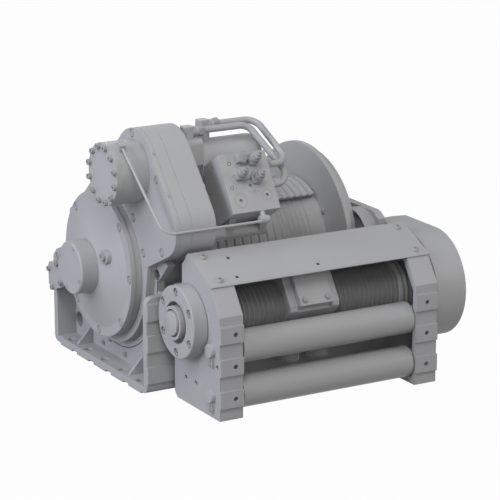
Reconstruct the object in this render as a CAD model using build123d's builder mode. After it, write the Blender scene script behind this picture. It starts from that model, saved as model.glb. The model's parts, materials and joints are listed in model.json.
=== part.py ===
from build123d import *
import os
from math import acos, atan2, cos, degrees, hypot, pi, radians, sin, tan

os.makedirs("parts", exist_ok=True)

# Hydraulic rope winch: grooved drum between two end frames, planetary gearbox in the drum,
# inclined transfer gear case with motor and brake, valve block, and a spooling device in front.
# Frame: X along the drum (gearbox side is -X), front with the rollers is -Y, Z up.
# Origin: centre of the rectangle of the two rows of foot bolts, on the floor.

# Turns, in degrees
half_turn = 180
quarter_turn = 90

# Fits and clearances
seat_gap = 0.3          # between faces that do not carry each other
run_fit = 0.06          # radial clearance of a running fit
slip = 0.15             # radial clearance of a bolt or pin in its hole
hold_gap = 0.02         # radial clearance of a seated ring or hub

# Foot bolts and end frames
foot_row_span = 563
foot_bolt_pitch = 85
foot_bolt_count = 5
foot_hole_d = 17.5
foot_pad_w = 60
foot_pad_t = 4.5
foot_flange_t = 14
frame_half_depth = 230
rim_t = 17
rim_top = 220
rim_corner_r = 18
wall_hole_in = 34
wall_hole_z = 55
wall_hole_r = 17
foot_corner_r = 16
rim_return = [(0, 200), (-16, 224), (-40, 234), (-40, 226), (-20, 217), (-8, 200)]
left_pad_l = 36
left_pad_shift = 4
right_pad_in = 19
left_edge = 14           # rim beyond the foot holes
left_channel_w = 47
wall_t = 22
left_front_w = 103.5
right_wall_in = 40.5     # wall inside the foot holes
right_wall_t = 12
right_edge = 20
right_disc_r = 200
right_rim_top = 280
tie_bar_d = 34
tie_bar_in = 35
pad_t = 5
pad_h = 38
pad_pitch = 70
pad_first_z = 47
pad_hole_d = 10

# Drum
axis_z = 241
barrel_r = 120
barrel_bore_r = 100
flange_r = 215
drum_left_gap = 7.5
left_flange_t = 14
drum_right_gap = 5
right_flange_t = 15
band_pitch = 21          # wide bands on the left of the barrel
band_gap = 18            # from the last narrow groove to the first band
groove_pitch = 13        # narrow grooves on the right of the barrel
groove_count = 7
groove_in = 51           # from the right end of the drum to the first groove
groove_depth = 4
groove_half = 4
web_in = 100
web_t = 16
right_web_in = 40
right_web_t = 14
shaft_r = 30
collar_w = 17
collar_r = 44

# Planetary gearbox in the drum
snout_r = 92
snout_gap = 5
planet_module = 4
sun_teeth = 12
planet_teeth = 12
ring_teeth = sun_teeth + 2 * planet_teeth
ring_r = 84
ring_in = 36
ring_w = 40
planet_pin_r = 9
carrier_r = 76
carrier_t = 15
sun_shaft_r = 14

# Gear teeth, in parts of the module
pressure_angle = 20
tooth_tip = 0.9
tooth_root = 1.2
ring_tooth_tip = 0.85
backlash = 0.06

# Transfer gear case, from the gearbox cover to the drum
gear_module = 5
pinion_teeth = 16
idler_teeth = 24
input_teeth = 44
motor_angle = 119.3      # direction from the drum axis to the motor axis, degrees from +Y
cover_r = 162
cover_t = 12
input_ring_t = 15
case_cover_t = 11
case_middle_t = 27
case_rear_t = 57
case_upper_r = 91
case_drum_r = 178
case_front_r = 64
case_front_y = -254.5
case_front_z = 378
case_neck_r = 50
case_wall = 9
register_r = 193

# Centre cap on the gearbox cover
cap_r = 59
cap_len = 68
cap_edge = 3
cap_wall = 12
sun_end_in = 20

# Brake, motor and port block on the motor axis
brake_r = 68
brake_len = 76
brake_cap_t = 14
brake_screw_count = 12
motor_r = 50
port_top = 62
port_half_w = 52
port_round = 12
tube_d = 15
tube_rear_y = -107
tube_front_y = -151
elbow_rear_in = 39
elbow_front_in = 21.5

# Valve block, leaning back
block_angle = 32
block_w = 115
block_h = 133
block_t = 88
block_gap = 2.5
block_front = 112       # from the motor axis to the front face
block_top = 25.7        # from the motor axis down to the top edge
support_r = 15
support_out = 31        # from the motor axis to the middle of the support bar
brake_tube_d = 6

# Rope press plate
press_over = 8          # from the barrel up to the shoe
press_t = 9
press_front_angle = 124
press_back_angle = 80
press_pivot_back = 7    # from the rim of the flanges back to the pivot bar
press_pivot_up = 59     # from the drum axis up to the pivot bar
press_pivot_r = 12.5

# Small plate on the left frame
side_plate_t = 13
side_plate_points = [(-72, 150), (-72, 228), (-50, 228), (-48, 204), (-34, 197), (-6, 194), (0, 186),
                     (-1, 141), (-21, 130)]

# Spooling device: cheeks, rollers, spindle, carriage
cheek_depth = 203.8
left_cheek_lap = 46.5
cheek_w = 55.4
right_cheek_gap = 4.5
cheek_wall = 16
cheek_gap = 19.2         # from the end frames to the cheeks
spindle_in = 71.8        # places in the spooling device, forward of the back of the cheeks
spindle_z = 188
spindle_r = 17
roller_in = 165.8
upper_roller_z = 146.6
lower_roller_z = 47.6
roller_r = 35
roller_axle_r = 12.5
roller_end_gap = 3
guide_roller_in = 98.8
guide_roller_r = 26.5
guide_roller_gap = 19.5
carriage_at = 201.6
carriage_w = 121
carriage_bottom = 128
carriage_strip_w = 19
carriage_recess = 10
plate_w = 81
bellows_r = 63
bellows_inner_r = 50
bellows_pitch = 12
bellows_wall = 3
guide_rod_r = 10
guide_rod_in = 50.8
guide_rod_z = 274
cover_sheet_t = 3
tie_plate_t = 12
tie_plate_in = 3.8
tie_plate_bottom = 10
tie_plate_top = 58
housing_r = 79
housing_len = 35
housing_bolt_r = 66
housing_recess_r = 45
housing_sink = 10
housing_chamfer = 2

# Drive of the spooling device at the right end
drive_module = 4
drum_gear_teeth = 58
idle_gear_teeth = 28
drive_gear_out = 22
drive_gear_w = 18
drive_gear_gap = 2
idle_shaft_r = 12
idle_angle = 173         # direction from the drum axis to the intermediate shaft
guard_r = 70
guard_t = 3
guard_gap = 4
guard_slip = 1          # around the guard, where a rim or the cheek comes close to it
guard_relief = 22
chain_cover_gap = 5
chain_cover_w = 75
chain_cover_r = 121
chain_wall = 6
sprocket_r = 22
chain_t = 7
chain_w = 11

# Details of the castings
hub_r = 62
hub_len = 20
idle_hub_r = 28
bearing_r = 50
rib_t = 8
rib_h = 45
rib_in = 6
outer_plate_front = [(0, 4.5), (0, 290), (-7, 307), (-7, 321), (10, 332), (22, 335)]
outer_plate_back = [(-60, 335), (30, 281), (90, 181), (130, 4.5)]
cover_cone_h = 27
cover_cone_r = 140
oil_boss = (-80, 279)
oil_boss_r = 16
oil_boss_h = 24
oil_plug_h = 3
oil_plug_r = 9
cover_bolt_r = 151
ring_step = 2
cover_bolt_count = 8
ring_bore_r = 122
case_bolts = [(-119, 555), (-229, 475), (-121, 369), (-166, 301), (-250, 322)]
lug_outline = [(-242, 288), (-209, 254), (-181, 231), (-176, 214), (-120, 200), (-100, 330)]
lug_hole = (-191, 256)
lug_hole_r = 12
rear_wall_t = 14
shoulder_r = 78
train_gap = 7.5
train_w = 38
idler_journal_r = 20
journal_in = 7
motor_shaft_r = 16
motor_shaft_in = 20
brake_wall = 12
brake_disc_r = 52
brake_disc_t = 6
brake_disc_pitch = 12
brake_disc_count = 4
brake_screw_r = 61
planet_count = 3
carrier_gap = 2
carrier_hub_r = 30
carrier_flange_r = 45
planet_gap = 3
bearing_w = 17
left_bearing_in = 6
right_bearing_in = 2
housing_bolt_count = 6
ear_r = 15

# Details of the motor side and the valve block
port_len = 43.5
port_low = 6            # from the motor axis up to the underside of the port block
motor_neck_r = 42
port_boss_r = 16
shaft_space = 2
motor_len = 155
motor_end_round = 16
motor_round_count = 3
elbow_len = 38
elbow_stub_r = 11
elbow_w = 25
elbow_edge = 5
tube_bend = 30
tube_turn_out = 53.5     # from the right face of the valve block
tube_upper_out = 63.5
tube_upper_end = (-236, 479.5)
tube_lower_turn_out = 9.5
tube_lower_out = 71.5
tube_lower_end = (-246.5, 436.5)
brake_port_out = 52.5
brake_port_turn = 121
brake_port_r = 9
brake_port_len = 6
banjo_len = 12
brake_tube_y = -323
brake_tube_z = 381
brake_tube_turn_out = 31.5
brake_tube_end_in = 60.5
end_fitting_r = 8.5
end_fitting_y = -315
end_fitting_z = 382.5
end_fitting_len = 22
end_stub_r = 6.5
cap_nut = (49.7, 12.9)
cap_nut_af = 27
cap_nut_h = 16
cartridges = [(36, 50), (77, 21), (74, 62)]
cartridge_steps = [(13, 14), (10.5, 14), (7, 9), (4, 8)]
front_plugs = [(57.7, 75.4, 14), (91.8, 100.3, 11.5), (26.6, 105.4, 15)]
side_plugs = [(-217.3, 480, 9), (-207.9, 418.7, 11)]
plug_in = 5
plug_socket_r = 4
bracket_lug_in = (7.5, 87.5)
bracket_lug_w = 16
bracket_lug_out = (40, 76)
bar_end_in = 5

# Details of the spooling device
cheek_points = [(-203.8, 0), (-203.8, 217.2), (-159.5, 281.6), (-62.2, 327.1), (-35.8, 302), (-35.8, 250),
                (0, 250), (0, 12), (-11.8, 0)]
pocket_points = [(-187.8, 16), (-187.8, 212), (-150.8, 266), (-62.8, 307), (-50.8, 296), (-50.8, 234),
                 (-15.8, 234), (-15.8, 16)]
front_recess = 5
pad_in = 10
back_pad_w = 34
back_pad_in = 2
spindle_space = 8
cheek_pads = [45.4, 115.4, 185.4]
cheek_hole_x = 36
boss_r = 24
housing_boss_r = 66
plain_hole_points = [(-50.8, 56), (-95.2, 55.4), (-186.8, 114.8)]
plain_hole_r = 5
keeper_r = 8
keeper_t = 4
keeper_screw_r = 5.5
keeper_near = (9, -3)
keeper_far = (0.5, -18)
carriage_points = [(-153.8, 207), (-108.8, 272), (-50.8, 290), (-12.8, 250), (-12.8, 150), (-40.8, 128),
                   (-124.8, 128), (-124.8, 165), (-153.8, 196)]
stud_r = 8
washer_r = 13
washer_t = 4
roller_h = 48
roller_drop = 4
collar_gap = 0.5
plate_gap = 8
plate_t = 22
carriage_screw_in = 12
carriage_screw_r = 5
carriage_screw_h = 5
bellows_end = 4
nut_out = 8.5
nut_w = 20
nut_r = 36.6
nut_inner_r = 30
sprocket_large_r = 44
sprocket_w = 9
sprocket_in = 10.5
sheet_fold = 14
sheet_lip = 4
cover_screw_in = 27
cover_screw_shares = (0.12, 0.85)
chain_boss_r = 12
chain_lobe_start = 90
chain_lobe_arc = 210
cheek_mount_points = [(-125.8, 250), (-135.8, 120)]
frame_mounts = [(-214, 172), (-222, 296)]
chain_cover_back = [(-118, 222), (-118, 262), (-150, 296), (-198, 309)]
guard_start_angle = 75
guard_end_angle = 200
guard_step_count = 12
press_flutes = 21
press_flute_h = 3.5
press_eye_wall = 3
press_gap = 8
press_arm_in = (48, 67)
press_arm_w = 20
press_arm_h = 14

# Fasteners
m12_head_r = 9
m12_head_h = 8
m12_sink = 6
screw_end_gap = 1
m12_shank_r = 6
m8_head_r = 6.5
m8_head_h = 8
m8_shank_r = 4
m8_shank_l = 20


def side(x):
    """Plane across the drum at x: sketch right is +Y, sketch up is +Z."""
    return Plane(origin=(x, 0, 0), x_dir=(0, 1, 0), z_dir=(1, 0, 0))


def ring_points(y, z, radius, count, start=0.0):
    """Places on a circle, counted from the +Y direction."""
    turns = [radians(start + 2 * half_turn * i / count) for i in range(count)]
    return [(y + radius * cos(t), z + radius * sin(t)) for t in turns]


def away(y, z, angle, distance):
    """Place at a distance and direction from a point, in the side plane."""
    return (y + distance * cos(radians(angle)), z + distance * sin(radians(angle)))


def moved(points, distance):
    """Outline or places moved along Y."""
    return [(y + distance, z) for y, z in points]


def hull_line(a, b):
    """Outer tangent of two circles (y, z, r), on the left of the way from a to b."""
    span = hypot(b[0] - a[0], b[1] - a[1])
    course = degrees(atan2(b[1] - a[1], b[0] - a[0]))
    normal = course + degrees(acos((a[2] - b[2]) / span))
    return away(a[0], a[1], normal, a[2]), away(b[0], b[1], normal, b[2])


def racetrack(a, b, mode=Mode.ADD):
    """Sketch outline round two circles of any radii."""
    left = hull_line(a, b)
    right = hull_line(b, a)
    with Locations((a[0], a[1])):
        Circle(a[2], mode=mode)
    with Locations((b[0], b[1])):
        Circle(b[2], mode=mode)
    with BuildLine() as sides:
        Polyline(left[0], left[1], right[0], right[1], close=True)
    make_face(sides.line, mode=mode)


def rod(x0, x1, y, z, radius, mode=Mode.ADD):
    """Round length along X."""
    with BuildSketch(side(x0)) as section:
        with Locations((y, z)):
            Circle(radius)
    extrude(section.sketch, amount=x1 - x0, mode=mode)


def bore(x0, x1, y, z, radius):
    """Round hole along X."""
    rod(x0, x1, y, z, radius, Mode.SUBTRACT)


def turned(y, z, points):
    """Turned shape about a line along X, from its half section of (x, radius) points."""
    with BuildSketch(Plane(origin=(0, y, z), x_dir=(1, 0, 0), z_dir=(0, -1, 0))) as section:
        with BuildLine():
            Polyline(*points, close=True)
        make_face()
    revolve(section.sketch, axis=Axis((0, y, z), (1, 0, 0)))


def block(x0, x1, y0, y1, z0, z1, mode=Mode.ADD):
    """Straight-sided block between two corners."""
    with BuildSketch(Plane.XY.offset(z0)) as section:
        with Locations(((x0 + x1) / 2, (y0 + y1) / 2)):
            Rectangle(x1 - x0, y1 - y0)
    extrude(section.sketch, amount=z1 - z0, mode=mode)


def slab(x0, x1, points, mode=Mode.ADD):
    """Plate between x0 and x1 with a straight-edged outline of (y, z) points."""
    with BuildSketch(side(x0)) as section:
        with BuildLine():
            Polyline(*points, close=True)
        make_face()
    extrude(section.sketch, amount=x1 - x0, mode=mode)


def stud(x, y, z0, z1, radius, mode=Mode.ADD):
    """Round length along Z."""
    with BuildSketch(Plane.XY.offset(z0)) as section:
        with Locations((x, y)):
            Circle(radius)
    extrude(section.sketch, amount=z1 - z0, mode=mode)


def involute(angle):
    return tan(angle) - angle


def gear_outline(y, z, teeth, module, tooth_at, inner=False):
    """Corner points of a spur gear, or of the tooth spaces of a ring gear."""
    pitch_r = teeth * module / 2
    base_r = pitch_r * cos(radians(pressure_angle))
    half = pi / 2 / teeth * (1 - backlash) if not inner else pi / 2 / teeth * (1 + backlash)
    tip_r = pitch_r + module * (tooth_tip if not inner else tooth_root)
    root_r = pitch_r - module * (tooth_root if not inner else ring_tooth_tip)
    flank_r = max(root_r, base_r)
    at_pitch = involute(acos(base_r / pitch_r))
    tip_half = half + at_pitch - involute(acos(base_r / tip_r))
    flank_half = half + at_pitch - involute(acos(base_r / flank_r))
    points = []
    for i in range(teeth):
        mid = radians(tooth_at) + 2 * pi * i / teeth
        for turn, radius in ((-flank_half, root_r), (-tip_half, tip_r), (tip_half, tip_r),
                             (flank_half, root_r)):
            points.append((y + radius * cos(mid + turn), z + radius * sin(mid + turn)))
    return points


def gear(x, width, y, z, teeth, module, tooth_at):
    """Spur gear on its own line."""
    with BuildSketch(side(x)) as section:
        with BuildLine():
            Polyline(*gear_outline(y, z, teeth, module, tooth_at), close=True)
        make_face()
    extrude(section.sketch, amount=width)


# Places worked out from the driving sizes
train_span = gear_module * (pinion_teeth + 2 * idler_teeth + input_teeth) / 2
motor_y, motor_z = away(0, axis_z, motor_angle, train_span)
idler_y, idler_z = away(0, axis_z, motor_angle, gear_module * (input_teeth + idler_teeth) / 2)
left_rim_x = -foot_row_span / 2 - left_edge
left_wall_x = left_rim_x + left_channel_w
left_front_x = left_rim_x + left_front_w
right_wall_x = foot_row_span / 2 - right_wall_in
right_rim_x = foot_row_span / 2 + right_edge
tie_bar_y = frame_half_depth - tie_bar_in
press_r = barrel_r + press_over
press_pivot_y = flange_r + press_pivot_back
press_pivot_z = axis_z + press_pivot_up
cover_x = left_rim_x
input_ring_x = cover_x + cover_t
case_x = input_ring_x + input_ring_t
middle_x = case_x + case_cover_t
rear_x = middle_x + case_middle_t
case_end_x = rear_x + case_rear_t
train_x = middle_x + train_gap
drum_left_x = case_end_x + drum_left_gap
drum_right_x = right_wall_x - drum_right_gap
web_x = drum_left_x + web_in
right_web_x = drum_right_x - right_web_in
groove_end_x = drum_right_x - groove_in
band_end_x = groove_end_x - (groove_count - 1) * groove_pitch - band_gap
band_count = 1 + int((band_end_x - groove_half - drum_left_x - left_flange_t) / band_pitch)
snout_end_x = web_x - snout_gap
ring_x = drum_left_x + ring_in
carrier_x = ring_x + ring_w + carrier_gap
left_bearing_x = drum_left_x + left_bearing_in
port_end_x = case_end_x + port_len
elbow_front_x = case_end_x + elbow_front_in
elbow_rear_x = port_end_x + elbow_rear_in
motor_end_x = port_end_x + motor_len
block_x = port_end_x + block_gap
block_right_x = block_x + block_w
tube_top_z = motor_z + port_top + elbow_w / 2
drive_gear_x = right_wall_x + drive_gear_out
outer_plate_x = drive_gear_x + drive_gear_w + drive_gear_gap
chain_cover_x = right_rim_x + chain_cover_gap
sprocket_x = chain_cover_x + sprocket_in
left_cheek_x = left_front_x - left_cheek_lap
right_cheek_x = right_wall_x + right_cheek_gap
housing_x = left_cheek_x - housing_len
nut_x = housing_x - nut_out
drive_span = drive_module * (drum_gear_teeth + idle_gear_teeth) / 2
idle_y, idle_z = away(0, axis_z, idle_angle, drive_span)
guard_turns = [guard_start_angle + i * (guard_end_angle - guard_start_angle) / guard_step_count
               for i in range(guard_step_count + 1)]
guard_room = ([away(idle_y, idle_z, turn, guard_r + guard_t + guard_slip) for turn in guard_turns]
              + [away(idle_y, idle_z, turn, guard_r - guard_slip) for turn in reversed(guard_turns)])
left_foot_x = -foot_row_span / 2
right_foot_x = foot_row_span / 2
foot_ys = [(i - (foot_bolt_count - 1) / 2) * foot_bolt_pitch for i in range(foot_bolt_count)]
pad_zs = [pad_first_z + i * pad_pitch for i in range(3)]
cheek_back_y = -frame_half_depth - cheek_gap
front_y = cheek_back_y - cheek_depth
spindle_y = cheek_back_y - spindle_in
roller_y = cheek_back_y - roller_in
guide_roller_y = cheek_back_y - guide_roller_in
guide_rod_y = cheek_back_y - guide_rod_in
tie_plate_y = cheek_back_y - tie_plate_in
left_cheek_in = left_cheek_x + cheek_w
right_cheek_out = right_cheek_x + cheek_w
carriage_x = left_cheek_in + carriage_at
rollers = [(roller_y, upper_roller_z), (roller_y, lower_roller_z)]
cover_bolts = ring_points(0, axis_z, cover_bolt_r, cover_bolt_count)
planet_span = planet_module * (sun_teeth + planet_teeth) / 2
planet_turns = [quarter_turn + 2 * half_turn * i / planet_count for i in range(planet_count)]
planet_places = [away(0, axis_z, turn, planet_span) for turn in planet_turns]
housing_bolts = ring_points(spindle_y, spindle_z, housing_bolt_r, housing_bolt_count, 30)
brake_screws = ring_points(motor_y, motor_z, brake_screw_r, brake_screw_count, 15)
guide_offset = guide_roller_r + guide_roller_gap / 2
guide_roller_top = carriage_bottom - roller_drop
guide_roller_low = guide_roller_top - roller_h
lean = radians(block_angle)
block_out = (0, -cos(lean), sin(lean))
block_down = (0, -sin(lean), -cos(lean))

cheek_outline = moved(cheek_points, cheek_back_y)
cheek_pocket = moved(pocket_points, cheek_back_y)
plain_holes = moved(plain_hole_points, cheek_back_y)
carriage_outline = moved(carriage_points, cheek_back_y)
cheek_mounts = moved(cheek_mount_points, cheek_back_y)


def on_block(x, out, down):
    """Point given by its distances from the motor axis, square to the valve block."""
    return (x, motor_y + out * block_out[1] + down * block_down[1],
            motor_z + out * block_out[2] + down * block_down[2])


def racetrack_ear(x, width):
    """Upright ear on the back rim that carries the pivot bar of the rope press plate."""
    with BuildSketch(side(x)) as section:
        racetrack((frame_half_depth - rim_t, rim_top - 2 * ear_r, ear_r),
                  (press_pivot_y, press_pivot_z, ear_r))
    extrude(section.sketch, amount=width)


# Left end frame: a channel casting, wall with the register bore, rims, ribs, foot
with BuildPart() as left_end_frame:
    with BuildSketch(side(left_wall_x)):
        with BuildLine():
            Polyline((-frame_half_depth, foot_pad_t), (frame_half_depth, foot_pad_t),
                     (frame_half_depth, rim_top), (-frame_half_depth, rim_top), close=True)
        make_face()
    extrude(amount=wall_t)
    racetrack_ear(left_wall_x, wall_t)
    bore(left_wall_x, left_wall_x + wall_t, 0, axis_z, register_r + seat_gap)
    bore(left_wall_x, left_wall_x + wall_t, press_pivot_y, press_pivot_z, press_pivot_r + run_fit)
    with BuildSketch(side(left_wall_x)):
        with Locations((frame_half_depth - wall_hole_in, wall_hole_z)):
            Circle(wall_hole_r)
    extrude(amount=wall_t, mode=Mode.SUBTRACT)
    with BuildSketch(Plane.XY.offset(foot_pad_t)):
        with Locations(((left_rim_x + left_wall_x + wall_t) / 2, 0)):
            Rectangle(left_wall_x + wall_t - left_rim_x, 2 * frame_half_depth)
    extrude(amount=foot_flange_t)
    with BuildSketch(Plane.XY):
        with Locations(*[(left_foot_x + left_pad_shift, y) for y in foot_ys]):
            Rectangle(left_pad_l, foot_pad_w)
    extrude(amount=foot_pad_t)
    for rim_y, rim_in in ((-frame_half_depth, left_front_x),
                          (frame_half_depth - rim_t, left_wall_x + wall_t)):
        with BuildSketch(Plane(origin=(0, rim_y, 0), x_dir=(1, 0, 0), z_dir=(0, 1, 0))):
            with BuildLine():
                Polyline((left_rim_x, -foot_pad_t), (rim_in, -foot_pad_t), (rim_in, -rim_top),
                         (left_rim_x, -rim_top), close=True)
            make_face()
        extrude(amount=rim_t)
    rim_edges = left_end_frame.edges().filter_by(Axis.Y).filter_by(
        lambda e: abs(e.center().X - left_rim_x) < 1 and abs(e.center().Z - rim_top) < 1)
    fillet(rim_edges, rim_corner_r)
    foot_edges = left_end_frame.edges().filter_by(Axis.X).filter_by(
        lambda e: abs(e.center().Z - foot_pad_t) < 1 and abs(abs(e.center().Y) - frame_half_depth) < 1)
    fillet(foot_edges, foot_corner_r)
    slab(left_rim_x, left_wall_x, moved(rim_return, frame_half_depth))
    with BuildSketch(Plane(origin=(0, -frame_half_depth, 0), x_dir=(1, 0, 0), z_dir=(0, -1, 0))):
        with Locations(*[((left_rim_x + left_front_x) / 2, z) for z in pad_zs]):
            Rectangle(left_front_x - left_rim_x, pad_h)
    extrude(amount=pad_t)
    for rib_y in (-1.5 * foot_bolt_pitch, 1.5 * foot_bolt_pitch):
        with BuildSketch(Plane(origin=(0, rib_y - rib_t / 2, 0), x_dir=(1, 0, 0), z_dir=(0, -1, 0))):
            with BuildLine():
                Polyline((left_rim_x + rib_in, foot_pad_t + foot_flange_t),
                         (left_wall_x, foot_pad_t + foot_flange_t),
                         (left_wall_x, foot_pad_t + foot_flange_t + rib_h), close=True)
            make_face()
        extrude(amount=-rib_t)
    with BuildSketch(Plane.XY.offset(foot_pad_t + foot_flange_t)):
        with Locations(*[(left_foot_x, y) for y in foot_ys]):
            Circle(foot_hole_d / 2)
    extrude(amount=-foot_flange_t - foot_pad_t, mode=Mode.SUBTRACT)
left_end_frame.part.label = "left_end_frame"
export_step(left_end_frame.part, "parts/left_end_frame.step")

# Right end frame: disc wall beside the drum flange, bearing hub, gear space, outer plate, foot
with BuildPart() as right_end_frame:
    rod(right_wall_x, right_wall_x + right_wall_t, 0, axis_z, right_disc_r)
    rod(right_wall_x, right_wall_x + hub_len, 0, axis_z, hub_r)
    slab(right_wall_x, right_wall_x + right_wall_t,
         [(-frame_half_depth, foot_pad_t), (frame_half_depth, foot_pad_t), (frame_half_depth, rim_top),
          (frame_half_depth - rim_t, rim_top), (right_disc_r - rim_t, axis_z), (rim_t - right_disc_r, axis_z),
          (-frame_half_depth + rim_t, right_rim_top), (-frame_half_depth, right_rim_top)])
    racetrack_ear(right_wall_x, right_wall_t)
    block(right_wall_x, right_rim_x, -frame_half_depth, frame_half_depth, foot_pad_t,
          foot_pad_t + foot_flange_t)
    block(right_wall_x, right_rim_x, -frame_half_depth, -frame_half_depth + rim_t, foot_pad_t, right_rim_top)
    block(right_wall_x, right_rim_x, frame_half_depth - rim_t, frame_half_depth, foot_pad_t, rim_top - pad_h)
    slab(outer_plate_x, right_rim_x, moved(outer_plate_front, -frame_half_depth) + outer_plate_back)
    for z in pad_zs:
        block(right_wall_x, right_rim_x, -frame_half_depth - pad_t, -frame_half_depth, z - pad_h / 2,
              z + pad_h / 2)
    for y in foot_ys:
        block(right_foot_x - right_pad_in, right_rim_x, y - foot_pad_w / 2, y + foot_pad_w / 2, 0, foot_pad_t)
        stud(right_foot_x, y, 0, foot_pad_t + foot_flange_t, foot_hole_d / 2, Mode.SUBTRACT)
    rod(right_wall_x + right_wall_t, drive_gear_x - drive_gear_gap, idle_y, idle_z, idle_hub_r)
    bore(right_wall_x + guard_relief, outer_plate_x, idle_y, idle_z, guard_r + guard_gap)
    slab(right_wall_x + right_wall_t, outer_plate_x, guard_room, Mode.SUBTRACT)
    bore(right_wall_x, right_wall_x + hub_len, 0, axis_z, bearing_r + hold_gap)
    bore(right_wall_x, right_rim_x, idle_y, idle_z, idle_shaft_r + run_fit)
    bore(right_wall_x, right_wall_x + right_wall_t, press_pivot_y, press_pivot_z, press_pivot_r + run_fit)
right_end_frame.part.label = "right_end_frame"
export_step(right_end_frame.part, "parts/right_end_frame.step")

# Two round tie bars between the walls of the end frames
with BuildPart() as tie_bars:
    for y in (-tie_bar_y, tie_bar_y):
        rod(left_wall_x + wall_t, right_wall_x, y, foot_pad_t + foot_flange_t + tie_bar_d / 2, tie_bar_d / 2)
tie_bars.part.label = "tie_bars"
export_step(tie_bars.part, "parts/tie_bars.step")

# Small plate bolted on the back rim of the left frame
with BuildPart() as side_plate:
    slab(left_rim_x - side_plate_t, left_rim_x,
         moved(side_plate_points, frame_half_depth))
side_plate.part.label = "side_plate"
export_step(side_plate.part, "parts/side_plate.step")

# Gearbox cover: flat rim and a cone rising to the centre cap, with the boss of the oil plug
hub_x = cover_x - cover_cone_h
with BuildPart() as gearbox_cover:
    turned(0, axis_z, [(cover_x + cover_t, sun_shaft_r + run_fit), (hub_x, sun_shaft_r + run_fit),
                       (hub_x, cap_r + cap_edge),
                       (cover_x, cover_cone_r), (cover_x, cover_r), (cover_x + cover_t, cover_r)])
    rod(cover_x - oil_boss_h, cover_x, *oil_boss, oil_boss_r)
    rod(cover_x - oil_boss_h - oil_plug_h, cover_x - oil_boss_h, *oil_boss, oil_plug_r)
    for y, z in cover_bolts:
        bore(cover_x, cover_x + cover_t, y, z, m12_shank_r + slip)
        bore(cover_x, cover_x + m12_sink, y, z, m12_head_r + slip)
gearbox_cover.part.label = "gearbox_cover"
export_step(gearbox_cover.part, "parts/gearbox_cover.step")

# Spacer ring between the gearbox cover and the transfer case
with BuildPart() as gearbox_ring:
    rod(input_ring_x, case_x, 0, axis_z, cover_r - ring_step)
    bore(input_ring_x, case_x, 0, axis_z, ring_bore_r)
    for y, z in cover_bolts:
        bore(input_ring_x, case_x, y, z, m12_shank_r + slip)
gearbox_ring.part.label = "gearbox_ring"
export_step(gearbox_ring.part, "parts/gearbox_ring.step")

# Round cap in the middle of the gearbox cover, over the end of the input shaft
with BuildPart() as centre_cap:
    turned(0, axis_z, [(hub_x, sun_shaft_r + cap_edge), (hub_x, cap_r), (cover_x - cap_len + cap_edge, cap_r),
                       (cover_x - cap_len, cap_r - cap_edge), (cover_x - cap_len, 0),
                       (cover_x - cap_len + cap_wall, 0),
                       (cover_x - cap_len + cap_wall, sun_shaft_r + cap_edge)])
centre_cap.part.label = "centre_cap"
export_step(centre_cap.part, "parts/centre_cap.step")


def case_outline(shrink=0.0, mode=Mode.ADD):
    """Outline of the transfer case: motor lobe, drum lobe and front lobe."""
    upper = (motor_y, motor_z, case_upper_r - shrink)
    front = (case_front_y, case_front_z, case_front_r - shrink)
    racetrack(upper, (0, axis_z, case_drum_r - shrink), mode)
    racetrack(front, upper, mode)
    racetrack((0, axis_z, case_neck_r - shrink), front, mode)


# Transfer case cover, on the gearbox side
with BuildPart() as transfer_cover:
    with BuildSketch(side(case_x)):
        case_outline()
    extrude(amount=case_cover_t)
    bore(case_x, case_x + case_cover_t, 0, axis_z, ring_bore_r)
    bore(case_x, case_x + case_cover_t, motor_y, motor_z, motor_shaft_r + run_fit)
    bore(case_x + case_cover_t - journal_in, case_x + case_cover_t, idler_y, idler_z,
         idler_journal_r + run_fit)
    for y, z in cover_bolts + case_bolts:
        bore(case_x, case_x + case_cover_t, y, z, m12_shank_r + slip)
    for y, z in case_bolts:
        bore(case_x, case_x + m12_sink, y, z, m12_head_r + slip)
transfer_cover.part.label = "transfer_cover"
export_step(transfer_cover.part, "parts/transfer_cover.step")

# Middle casting of the transfer case, with the register flange in the end frame and a lifting lug
with BuildPart() as transfer_middle:
    with BuildSketch(side(middle_x)):
        case_outline()
    extrude(amount=case_middle_t)
    rod(left_wall_x, rear_x, 0, axis_z, register_r)
    slab(left_wall_x, rear_x, lug_outline)
    with BuildSketch(side(middle_x)):
        case_outline(case_wall)
    extrude(amount=case_middle_t, mode=Mode.SUBTRACT)
    bore(left_wall_x, rear_x, *lug_hole, lug_hole_r)
transfer_middle.part.label = "transfer_middle"
export_step(transfer_middle.part, "parts/transfer_middle.step")

# Rear casting of the transfer case, with the tube that carries the ring gear and the drum bearing
with BuildPart() as transfer_rear:
    with BuildSketch(side(rear_x)):
        case_outline()
    extrude(amount=case_rear_t)
    rod(case_end_x - rear_wall_t, snout_end_x, 0, axis_z, snout_r)
    with BuildSketch(side(rear_x)):
        case_outline(case_wall)
    extrude(amount=case_rear_t - rear_wall_t, mode=Mode.SUBTRACT)
    bore(case_end_x, ring_x, 0, axis_z, shoulder_r)
    bore(ring_x, snout_end_x, 0, axis_z, ring_r + hold_gap)
    bore(rear_x, case_end_x, 0, axis_z, sun_shaft_r + run_fit)
    bore(rear_x, case_end_x, motor_y, motor_z, motor_shaft_r + run_fit)
    bore(case_end_x - rear_wall_t, case_end_x - rear_wall_t + journal_in, idler_y, idler_z,
         idler_journal_r + run_fit)
transfer_rear.part.label = "transfer_rear"
export_step(transfer_rear.part, "parts/transfer_rear.step")

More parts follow.
